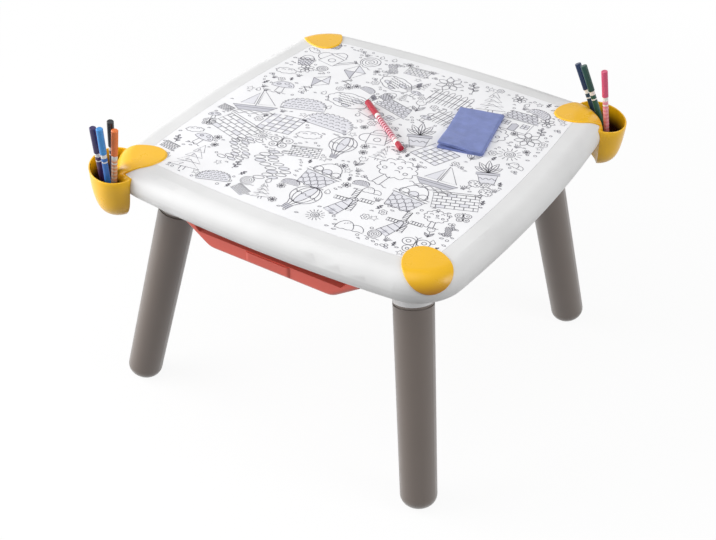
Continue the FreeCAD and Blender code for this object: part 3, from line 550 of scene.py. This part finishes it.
def ripple(x0, x1, y, waves, tall):
    steps = waves * RIPPLE_POINTS
    return [(x0 + (x1 - x0) * step / steps, y + tall * math.sin(2 * math.pi * waves * step / steps))
            for step in range(steps + 1)]


def draw_flower():
    strokes = [arc(0, 0, 0.24), arc(0, 0, 0.12)]
    for petal in range(7):
        turn = 360 * petal / 7
        away = (0.22 * math.cos(math.radians(turn)), 0.22 * math.sin(math.radians(turn)))
        strokes.append(leaf(away[0], away[1], 0.74, 0.24, turn)[0])
    return strokes, [], []


def draw_tulip():
    cup = [(-0.34, 0.9), (-0.4, 0.45), (-0.2, 0.2), (0, 0.14), (0.2, 0.2), (0.4, 0.45), (0.34, 0.9),
           (0.17, 0.62), (0, 0.95), (-0.17, 0.62), (-0.34, 0.9)]
    stem = [(0, 0.14), (0.03, -0.3), (0, -0.95)]
    return [cup, stem, *leaf(0, -0.8, 0.95, 0.14, 58), *leaf(0, -0.8, 0.85, 0.14, 125)], [], []


def draw_tree():
    crown = bumpy(0, 0.3, 0.78, 0.66, 11)
    trunk = [[(-0.13, -0.27), (-0.17, -0.9)], [(0.13, -0.27), (0.17, -0.9)]]
    ground = ripple(-0.5, 0.5, -0.92, 3, 0.03)
    dabs = [arc(-0.35, 0.4, 0.12, start=20, end=160), arc(0.3, 0.55, 0.12, start=20, end=160),
            arc(0.1, 0.1, 0.12, start=20, end=160), arc(-0.1, 0.7, 0.1, start=20, end=160)]
    fruit = [arc(0.42, 0.2, 0.08), arc(-0.42, 0.1, 0.08), arc(0.02, 0.42, 0.08)]
    return [crown, *trunk, ground, *dabs, *fruit], [], []


def draw_fir():
    strokes = [[(-0.1, -0.7), (-0.1, -0.95)], [(0.1, -0.7), (0.1, -0.95)]]
    for tier in range(4):
        low, wide = -0.7 + 0.4 * tier, 0.66 - 0.14 * tier
        strokes.append(closed((-wide, low), (0, low + 0.56), (wide, low)))
        strokes.append([(-wide * 0.4, low + 0.1), (-wide * 0.2, low + 0.24)])
    return strokes, [], []


def draw_mushroom():
    cap = arc(0, 0.1, 0.8, 0.7, 0, 180) + [(-0.5, 0.0), (0, -0.06), (0.5, 0.0), (0.8, 0.1)]
    stem = [(-0.2, -0.03), (-0.26, -0.7), (0, -0.82), (0.26, -0.7), (0.2, -0.03)]
    spots = [arc(-0.35, 0.36, 0.15, 0.12), arc(0.18, 0.52, 0.16, 0.13), arc(0.5, 0.25, 0.1, 0.09)]
    return [cap, stem, *spots, ripple(-0.6, 0.6, -0.86, 3, 0.04)], [cap], [spots[0]]


def draw_kite():
    frame_line = closed((0, 0.95), (0.5, 0.3), (0, -0.4), (-0.5, 0.3))
    spars = [[(0, 0.95), (0, -0.4)], [(-0.5, 0.3), (0.5, 0.3)]]
    tail = [(0.16 * math.sin(step * 0.9), -0.4 - 0.055 * step) for step in range(11)]
    bows = [closed((x - 0.12, y + 0.07), (x + 0.12, y - 0.07), (x + 0.12, y + 0.07), (x - 0.12, y - 0.07))
            for x, y in (tail[3], tail[6], tail[9])]
    pale, dark = closed((0, 0.3), (0.5, 0.3), (0, 0.95)), closed((0, 0.3), (-0.5, 0.3), (0, -0.4))
    return [frame_line, *spars, tail, *bows], [pale], [dark]


def draw_butterfly():
    wings = [arc(-0.42, 0.34, 0.4, 0.36), arc(0.42, 0.34, 0.4, 0.36),
             arc(-0.33, -0.36, 0.3, 0.32), arc(0.33, -0.36, 0.3, 0.32)]
    dots = [arc(-0.46, 0.36, 0.14), arc(0.46, 0.36, 0.14), arc(-0.34, -0.38, 0.1), arc(0.34, -0.38, 0.1)]
    body = arc(0, 0, 0.07, 0.5)
    feelers = [arc(-0.2, 0.52, 0.2, 0.34, 0, 90), arc(0.2, 0.52, 0.2, 0.34, 90, 180)]
    return [*wings, *dots, body, *feelers], [], []


def draw_boat():
    hull = closed((-0.85, -0.3), (0.85, -0.3), (0.55, -0.66), (-0.55, -0.66))
    sails = [closed((0.06, -0.16), (0.06, 0.9), (0.72, -0.16)),
             closed((-0.08, -0.16), (-0.08, 0.72), (-0.6, -0.16))]
    sea = [ripple(-0.95, 0.95, -0.76, 5, 0.05), ripple(-0.7, 0.8, -0.9, 4, 0.05)]
    return [hull, *sails, [(0, -0.3), (0, 0.95)], *sea, [(-0.74, -0.44), (0.74, -0.44)]], [sails[1]], [hull]


def draw_cloud():
    return [bumpy(0, 0, 0.95, 0.5, 9), arc(-0.3, 0.02, 0.2, start=30, end=150),
            arc(0.25, 0.06, 0.22, start=30, end=150)], [], []


def draw_sun():
    rays = [[(0.56 * math.cos(turn), 0.56 * math.sin(turn)), (0.92 * math.cos(turn), 0.92 * math.sin(turn))]
            for turn in (math.pi * step / 7 for step in range(14))]
    return [arc(0, 0, 0.42), spiral(0, 0, 0.32, 2.2), *rays], [], []


def draw_pot():
    pot = closed((-0.42, -0.25), (0.42, -0.25), (0.3, -0.92), (-0.3, -0.92))
    brim = closed((-0.5, -0.08), (0.5, -0.08), (0.5, -0.25), (-0.5, -0.25))
    plant = []
    for angle, length in ((90, 1.0), (62, 0.9), (118, 0.9), (36, 0.72), (144, 0.72)):
        plant += leaf(0, -0.08, length, 0.13, angle)
    return [pot, brim, *plant, ripple(-0.36, 0.36, -0.56, 3, 0.06)], [pot], [brim]


def draw_can():
    body = closed((-0.4, 0.28), (0.36, 0.28), (0.42, -0.7), (-0.46, -0.7))
    spout = [(0.39, -0.4), (0.86, 0.36), (0.96, 0.3), (0.41, -0.62)]
    rose = closed((0.78, 0.44), (1.0, 0.24), (0.98, 0.2), (0.74, 0.38))
    handle = arc(-0.43, -0.18, 0.42, 0.36, 90, 270)
    hoop = arc(-0.02, 0.28, 0.3, 0.3, 0, 180)
    return [body, spout, rose, handle, hoop, [(-0.42, 0.1), (0.38, 0.1)], arc(0, -0.3, 0.16)], [], []


def draw_fence():
    strokes = [[(-0.95, 0.2), (0.95, 0.2)], [(-0.95, -0.3), (0.95, -0.3)]]
    for post in range(6):
        x = -0.8 + 0.32 * post
        strokes.append(closed((x - 0.1, -0.7), (x - 0.1, 0.45), (x, 0.62), (x + 0.1, 0.45), (x + 0.1, -0.7)))
    return strokes, [], []


def draw_snail_shell():
    rim, ground = arc(0, 0.1, 0.74, start=10, end=250), ripple(-0.8, 0.9, -0.72, 3, 0.05)
    return [spiral(0, 0.1, 0.72, 3.1), rim, ground], [], []


def draw_hills():
    strokes = [arc(-0.35, -0.6, 0.6, 0.9, 0, 180), arc(0.4, -0.6, 0.55, 0.62, 0, 125),
               ripple(-0.95, 0.95, -0.66, 4, 0.03)]
    for step in range(3):
        x, y = 0.16 * step, 0.08 * step
        strokes.append([(-0.5 + x, -0.1 + y), (-0.42 + x, y)])
    return strokes, [], []


def draw_sprig():
    stem = [(0, -0.95), (0.06, -0.3), (0, 0.4)]
    leaves = leaf(0, 0.4, 0.52, 0.14, 90)
    for height, side in ((-0.6, 35), (-0.35, 145), (-0.05, 35), (0.2, 145)):
        leaves += leaf(0.03, height, 0.52, 0.13, side)
    return [stem, *leaves], [], []


def draw_star():
    tips = []
    for step in range(10):
        out, turn = 0.42 if step % 2 else 0.95, math.pi * step / 5
        tips.append((out * math.sin(turn), out * math.cos(turn)))
    return [closed(*tips)], [], []


def draw_drop():
    outline = [(0, 0.95), *arc(0, -0.2, 0.55, 0.6, 30, -210), (0, 0.95)]
    return [outline, arc(0, -0.2, 0.3, start=200, end=260)], [], []


def draw_tuft():
    return [[(0.16 * blade, -0.6), (0.24 * blade, 0.1), (0.5 * blade, 0.85 - 0.12 * abs(blade))]
            for blade in (-2, -1, 0, 1, 2)], [], []


def draw_pebbles():
    stones = [arc(-0.4, -0.2, 0.42, 0.3), arc(0.45, -0.3, 0.36, 0.24), arc(0.05, 0.3, 0.34, 0.26)]
    return stones, [stones[1]], []


def draw_bloom():
    return [arc(0, 0, 0.3), bumpy(0, 0, 0.95, 0.95, 6, depth=0.34)], [], []


def draw_house():
    """A house with a tiled roof, a door and windows with crossbars."""
    walls = closed((-0.7, -0.85), (0.7, -0.85), (0.7, 0.1), (-0.7, 0.1))
    roof = closed((-0.88, 0.1), (0.88, 0.1), (0.55, 0.8), (-0.55, 0.8))
    strokes = [walls, roof, closed((0.28, 0.8), (0.28, 0.98), (0.48, 0.98), (0.48, 0.8))]
    for row in range(3):
        low, half = 0.1 + 0.23 * row, 0.88 - 0.11 * row
        strokes.append([(-half + 0.04, low + 0.23), (half - 0.08, low + 0.23)])
        strokes += [arc(-half + 0.14 + 0.235 * tile, low + 0.2, 0.115, 0.13, 180, 360)
                    for tile in range(int(half * 8))]
    door = closed((-0.16, -0.85), (0.16, -0.85), (0.16, -0.3), (0, -0.2), (-0.16, -0.3))
    panes, bars = [], []
    for x in (-0.44, 0.44):
        panes.append(closed((x - 0.16, -0.46), (x + 0.16, -0.46), (x + 0.16, -0.12), (x - 0.16, -0.12)))
        bars += [[(x, -0.46), (x, -0.12)], [(x - 0.16, -0.29), (x + 0.16, -0.29)]]
    return [*strokes, door, *panes, *bars], [roof, *panes], [door]


def draw_wall():
    """A stretch of brick wall with a coping."""
    strokes = [closed((-0.95, -0.6), (0.95, -0.6), (0.95, 0.5), (-0.95, 0.5)),
               closed((-1, 0.5), (1, 0.5), (1, 0.62), (-1, 0.62))]
    bricks = []
    for row in range(5):
        low = -0.6 + 0.22 * row
        strokes.append([(-0.95, low + 0.22), (0.95, low + 0.22)])
        shift = 0.19 * (row % 2)
        for step in range(5):
            x = -0.76 + shift + 0.38 * step
            if x < 0.9:
                strokes.append([(x, low), (x, low + 0.22)])
            if (row * 3 + step * 2) % 7 == 0 and x < 0.5:
                bricks.append(closed((x, low), (x + 0.38, low), (x + 0.38, low + 0.22), (x, low + 0.22)))
    return strokes, bricks, []


def draw_basket():
    """A woven basket with a hoop and round fruit."""
    sides = closed((-0.7, 0.05), (0.7, 0.05), (0.5, -0.85), (-0.5, -0.85))
    strokes = [sides, closed((-0.78, 0.05), (0.78, 0.05), (0.78, 0.2), (-0.78, 0.2)),
               arc(0, 0.2, 0.56, 0.74, 0, 180)]
    for row in range(5):
        y, half = -0.13 - 0.18 * row, 0.66 - 0.04 * row
        for cell in range(6):
            start = 0 if (row + cell) % 2 else 180
            strokes.append(arc(-half + half * 2 * (cell + 0.5) / 6, y, half / 6, 0.07, start, start + 180))
    fruit = [arc(x, 0.3, 0.19) for x in (-0.42, 0, 0.42)]
    return [*strokes, *fruit], [fruit[1], sides], []


def draw_pond():
    """A pond with ripples, round leaves and reeds."""
    strokes = [bumpy(0, -0.1, 0.97, 0.62, 9, depth=0.08)]
    strokes += [ripple(-0.7 + 0.1 * row, 0.6 - 0.06 * row, 0.25 - 0.17 * row, 6, 0.03) for row in range(5)]
    pads = [arc(-0.42, -0.28, 0.2, 0.12, 30, 390), arc(0.36, 0.02, 0.24, 0.14, 200, 560),
            arc(0.1, -0.5, 0.18, 0.1)]
    reeds = [[(0.62 + 0.09 * reed, -0.1), (0.66 + 0.1 * reed, 0.9 - 0.1 * reed)] for reed in range(3)]
    heads = [arc(0.66 + 0.1 * reed, 0.82 - 0.1 * reed, 0.05, 0.15) for reed in range(3)]
    return [*strokes, *pads, *reeds, *heads], pads, heads


def draw_windmill():
    """A windmill with four latticed sails."""
    tower = closed((-0.3, -0.95), (0.3, -0.95), (0.18, 0.2), (-0.18, 0.2))
    strokes = [tower, arc(0, 0.2, 0.18, 0.2, 0, 180), arc(0, 0.26, 0.07)]
    sails, bands = [], []
    for quarter in range(4):
        turn = math.radians(24 + 90 * quarter)

        def spot(out, aside=0.0):
            return (out * math.cos(turn) - aside * math.sin(turn),
                    0.26 + out * math.sin(turn) + aside * math.cos(turn))

        sails.append(closed(spot(0.16), spot(0.74), spot(0.74, 0.2), spot(0.2, 0.2)))
        strokes.append([spot(0.05), spot(0.74)])
        strokes += [[spot(0.28 + 0.12 * bar), spot(0.28 + 0.12 * bar, 0.2)] for bar in range(4)]
    for row in range(3):
        half, y = 0.28 - 0.04 * row, -0.75 + 0.3 * row
        bands.append([(-half, y), (half, y)])
    door = closed((-0.08, -0.95), (0.08, -0.95), (0.08, -0.66), (-0.08, -0.66))
    return [*strokes, *sails, *bands], [tower], [door]


def draw_balloon():
    """A balloon with gores, ropes and a basket."""
    strokes = [arc(0, 0.3, 0.62, 0.66)]
    strokes += [arc(0, 0.3, wide, 0.66, 90, 450) for wide in (0.2, 0.42)]
    ropes = [[(x, -0.28), (x * 0.45, -0.62)] for x in (-0.3, -0.1, 0.1, 0.3)]
    car = closed((-0.18, -0.62), (0.18, -0.62), (0.14, -0.92), (-0.14, -0.92))
    weave = [[(-0.17, -0.72), (0.17, -0.72)], [(-0.16, -0.82), (0.16, -0.82)]]
    return [*strokes, *ropes, car, *weave, ripple(-0.6, 0.6, 0.3, 5, 0.05)], [arc(0, 0.3, 0.2, 0.66)], [car]


def draw_blanket():
    """A checked picnic blanket."""
    strokes = [[(-0.9 + 0.3 * step, -0.7), (-0.72 + 0.3 * step, 0.7)] for step in range(6)]
    for row in range(6):
        y = -0.7 + 0.28 * row
        strokes.append([(-0.92 + 0.13 * row, y), (0.58 + 0.039 * row, y)])
    checks = []
    lean = 0.036
    for row in range(5):
        for step in range(5):
            if (row + step) % 2 == 0:
                x, y = -0.9 + 0.3 * step + lean * row, -0.7 + 0.28 * row
                checks.append(closed((x, y), (x + 0.3, y), (x + 0.3 + lean, y + 0.28), (x + lean, y + 0.28)))
    return strokes, checks, []


def draw_hedge():
    strokes = [bumpy(0, -0.2, 0.98, 0.62, 13, 0, 180),
               [(-0.97, -0.2), (-0.97, -0.6), (0.97, -0.6), (0.97, -0.2)]]
    dabs = []
    for row in range(4):
        for step in range(7):
            x, y = -0.78 + 0.26 * step + 0.1 * (row % 2), -0.45 + 0.2 * row
            if abs(x) < 0.9 - 0.14 * row:
                dabs.append(arc(x, y, 0.08, 0.07, 10, 190))
    return [*strokes, *dabs], [strokes[0] + [(-0.97, -0.6), (0.97, -0.6), (0.97, -0.2)]], []


def draw_path():
    """A winding path of flat stones."""
    stones = []
    for step in range(9):
        y = -0.88 + 0.22 * step
        x = 0.35 * math.sin(step * 0.8)
        stones += [arc(x - 0.24, y, 0.2, 0.1), arc(x + 0.22, y + 0.08, 0.19, 0.09)]
    return stones, stones[1::3], []


def draw_speck():
    return [arc(0, 0, 0.6)], [], []


def draw_dash():
    return [[(-0.9, 0), (0.9, 0.1)], [(-0.5, 0.5), (0.6, 0.55)]], [], []


def draw_leaflet():
    return [leaf(-0.9, 0, 1.8, 0.4, 12)[0]], [], []


LARGE_MOTIFS = (draw_house, draw_tree, draw_windmill, draw_pond, draw_pot, draw_wall, draw_boat, draw_balloon,
                draw_hedge, draw_basket, draw_kite, draw_path, draw_can, draw_blanket, draw_fir, draw_fence)
MIDDLE_MOTIFS = (draw_flower, draw_mushroom, draw_wall, draw_tulip, draw_hedge, draw_butterfly, draw_cloud,
                 draw_fir, draw_sprig, draw_path, draw_snail_shell, draw_sun, draw_basket, draw_tree,
                 draw_hills)
SMALL_MOTIFS = (draw_bloom, draw_tuft, draw_star, draw_pebbles, draw_sprig, draw_drop, draw_flower)
TINY_MOTIFS = (draw_speck, draw_dash, draw_leaflet)
# Each tier of motifs: which, how many at most, radius, and how thick its lines are
ART_TIERS = (
    (LARGE_MOTIFS, 32, 41 * MM, 1.15 * MM),
    (MIDDLE_MOTIFS, 110, 24 * MM, 1.05 * MM),
    (MIDDLE_MOTIFS, 130, 15 * MM, 0.95 * MM),
    (SMALL_MOTIFS, 330, 7.5 * MM, 0.9 * MM),
    (TINY_MOTIFS, 520, 3.6 * MM, 0.9 * MM),
)
ART_SEED = 12
ART_TRIES = 2600
ART_MARGIN = 9 * MM
ART_CORNER_CUT = 342 * MM
ART_CLOSENESS = 0.86
ART_SIZES = (0.86, 1.12)
ART_TURN = 24
ART_LIFT = 0.16 * MM
TONE_LIFT = 0.11 * MM
WASH_LIFT = 0.06 * MM
# A line whose ends are this near is closed
CLOSED_GAP = 0.001 * MM


def set_out_art():
    """Places for the motifs, the large ones first and the small ones in the gaps between."""
    dice = random.Random(ART_SEED)
    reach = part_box("drawing_board")[1].x - ART_MARGIN
    places = []
    for motifs, most, radius, width in ART_TIERS:
        made = 0
        for _ in range(ART_TRIES):
            if made == most:
                break
            x, y = dice.uniform(-reach, reach), dice.uniform(-reach, reach)
            size = radius * dice.uniform(*ART_SIZES)
            diagonal = (abs(x) + abs(y)) / math.sqrt(2)
            outside = max(abs(x), abs(y)) > reach - size or diagonal > ART_CORNER_CUT - size
            if outside or any(math.hypot(x - p["x"], y - p["y"]) < ART_CLOSENESS * (size + p["size"])
                              for p in places):
                continue
            places.append({"x": x, "y": y, "size": size, "width": width, "motif": motifs[made % len(motifs)],
                           "turn": math.radians(dice.uniform(-ART_TURN, ART_TURN))})
            made += 1
    return places


def onto_board(place, points):
    """A motif's points, turned, scaled and moved to their place."""
    cosine, sine = math.cos(place["turn"]), math.sin(place["turn"])
    return [Vector((place["x"] + place["size"] * (x * cosine - y * sine),
                    place["y"] + place["size"] * (x * sine + y * cosine))) for x, y in points]


def add_ribbon(work, points, width, height):
    """A flat strip of ink along a line of points."""
    joined = (points[0] - points[-1]).length < CLOSED_GAP
    last = len(points) - 1
    pairs = []
    for index, point in enumerate(points):
        before = points[index - 1] if index else (points[last - 1] if joined else point)
        after = points[index + 1] if index < last else (points[1] if joined else point)
        ahead = after - before
        side = Vector((-ahead.y, ahead.x)).normalized() * (width / 2)
        pairs.append([work.verts.new((*(point + side), height)), work.verts.new((*(point - side), height))])
    for (left, right), (next_left, next_right) in zip(pairs, pairs[1:]):
        work.faces.new((right, next_right, next_left, left))


def build_art(moulding):
    """The ink lines and the pale washes, each one flat mesh just over the board."""
    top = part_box("drawing_board")[1].z
    ink, wash, tone = bmesh.new(), bmesh.new(), bmesh.new()
    for place in set_out_art():
        strokes, pale, dark = place["motif"]()
        for stroke in strokes:
            add_ribbon(ink, onto_board(place, stroke), place["width"], top + ART_LIFT)
        for work, fills, lift in ((wash, pale, WASH_LIFT), (tone, dark, TONE_LIFT)):
            for fill in fills:
                corners = onto_board(place, fill[:-1])
                work.faces.new([work.verts.new((*corner, top + lift)) for corner in corners])
    for name, work, colour in (("board_line_art", ink, INK), ("board_wash", wash, INK_WASH),
                               ("board_tone", tone, INK_TONE)):
        mesh = bpy.data.meshes.new(name)
        bmesh.ops.recalc_face_normals(work, faces=work.faces)
        work.to_mesh(mesh)
        work.free()
        mesh.materials.append(moulded(name, moulding, colour, roughness=0.6, rubbing=0.05, grain=0.02,
                                      shine=INK_SHINE))
        item = bpy.data.objects.new(name, mesh)
        scene.collection.objects.link(item)
        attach(item, "table")


# Folded cloth: one sheet, folded in half twice

CLOTH_LAYER = 1.75 * MM
CLOTH_THICK = 1.0 * MM
CLOTH_STEPS = (56, 96)
# The size of the sheet laid flat, and how far it lies turned on the board
CLOTH_WIDE = 148 * MM
CLOTH_LONG = 268 * MM
CLOTH_TURN = 12.5
# How high the near left corner of the upper layers lifts, and how far in the lift reaches
CLOTH_CURL = 6.5 * MM
CLOTH_CURL_REACH = 52 * MM
# How far the layers wander sideways, swell and ripple, and how quickly along x, y and z
CLOTH_WANDER = 0.8 * MM
CLOTH_SWELL = 0.18
CLOTH_RIPPLE = 0.25 * MM
CLOTH_WANDER_RATE = (24, 17)
CLOTH_WANDER_SLICE = 0.3
CLOTH_SWELL_RATE = (30, 22, 300)


def build_cloth():
    """A sheet folded along its length and then across its width, lying on the board."""
    low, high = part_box("cleaning_cloth")
    centre = (low + high) / 2
    work = bmesh.new()
    rows = []
    for i in range(CLOTH_STEPS[0] + 1):
        row = []
        for j in range(CLOTH_STEPS[1] + 1):
            across, along = CLOTH_WIDE * i / CLOTH_STEPS[0], CLOTH_LONG * j / CLOTH_STEPS[1]
            row.append(work.verts.new(folded(across, along)))
        rows.append(row)
    for i in range(CLOTH_STEPS[0]):
        for j in range(CLOTH_STEPS[1]):
            work.faces.new((rows[i][j], rows[i + 1][j], rows[i + 1][j + 1], rows[i][j + 1]))
    turn = Matrix.Rotation(math.radians(CLOTH_TURN), 4, "Z")
    place = Matrix.Translation((centre.x, centre.y, low.z + CLOTH_THICK / 2)) @ turn
    bmesh.ops.transform(work, matrix=place, verts=work.verts)
    mesh = bpy.data.meshes.new("folded_cloth")
    work.to_mesh(mesh)
    work.free()
    for face in mesh.polygons:
        face.use_smooth = True
    cloth = bpy.data.objects.new("folded_cloth", mesh)
    scene.collection.objects.link(cloth)
    solid = cloth.modifiers.new("thickness", "SOLIDIFY")
    solid.thickness = CLOTH_THICK
    solid.offset = 0
    mesh.materials.append(woven("cloth_weave", CLOTH_BLUE))
    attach(cloth, "cleaning_cloth")
    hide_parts("cleaning_cloth")


def bend(along, half, radius):
    """Folds a line back on itself at its middle: how far out a point lies, and how high."""
    arc_length = math.pi * radius
    start = half - arc_length / 2
    if along < start:
        return along, 0.0
    if along < start + arc_length:
        turn = (along - start) / radius
        return start + radius * math.sin(turn), radius * (1 - math.cos(turn))
    return start - (along - start - arc_length), 2 * radius


def folded(across, along):
    """Where a point of the flat sheet lies once the sheet is folded twice, with soft uneven layers."""
    out, first = bend(along, CLOTH_LONG / 2, CLOTH_LAYER / 2)
    # The second fold turns about the middle of the four layers
    middle = 1.5 * CLOTH_LAYER
    side, second = bend(across, CLOTH_WIDE / 2, middle - first)
    height = first + second
    wander_spot = (across * CLOTH_WANDER_RATE[0], along * CLOTH_WANDER_RATE[1], CLOTH_WANDER_SLICE)
    wander = noise.noise(Vector(wander_spot))
    swell = noise.noise(Vector((side, out, height)) * Vector(CLOTH_SWELL_RATE))
    x = side - CLOTH_WIDE / 4 + CLOTH_WANDER * wander
    y = out - CLOTH_LONG / 4 + CLOTH_WANDER * swell
    z = height * (1 + CLOTH_SWELL * max(0.0, swell)) + CLOTH_RIPPLE * abs(wander)
    upper = min(1.0, max(0.0, height / CLOTH_LAYER - 1))
    near, left = max(0.0, 1 - out / CLOTH_CURL_REACH), max(0.0, 1 - side / CLOTH_CURL_REACH)
    z += CLOTH_CURL * upper * near * left
    return Vector((x, y, z))


def woven(name, colour):
    """Soft woven cloth: crossing threads, a slow change of tone and a soft sheen."""
    material, tree, shader = new_material(name)
    place = node(tree, "TexCoord").outputs["Object"]
    threads = []
    for direction in ("X", "Y"):
        wave = node(tree, "TexWave", bands_direction=direction)
        feed(tree, wave, Vector=place, Scale=420.0, Distortion=1.5)
        threads.append(wave.outputs["Fac"])
    weave = node(tree, "Math", operation="ADD")
    feed(tree, weave, i0=threads[0], i1=threads[1])
    bump = node(tree, "Bump")
    feed(tree, bump, Height=weave.outputs[0], Strength=0.35, Distance=0.3 * MM)
    tone = speckle(tree, place, scale=60.0, low=0.88, high=1.1, detail=3.0)
    tree.links.new(tinted(tree, colour, tone), shader.inputs["Base Color"])
    tree.links.new(bump.outputs[0], shader.inputs["Normal"])
    shader.inputs["Roughness"].default_value = 0.9
    shader.inputs["Sheen Weight"].default_value = 0.25
    return material


build_camera()
build_studio()
plastic_surface = build_moulding()
dress_table(plastic_surface)
dress_cups(plastic_surface, build_cup_painted_shade())
dress_pens(plastic_surface, build_sleeve())
build_art(plastic_surface)
build_cloth()
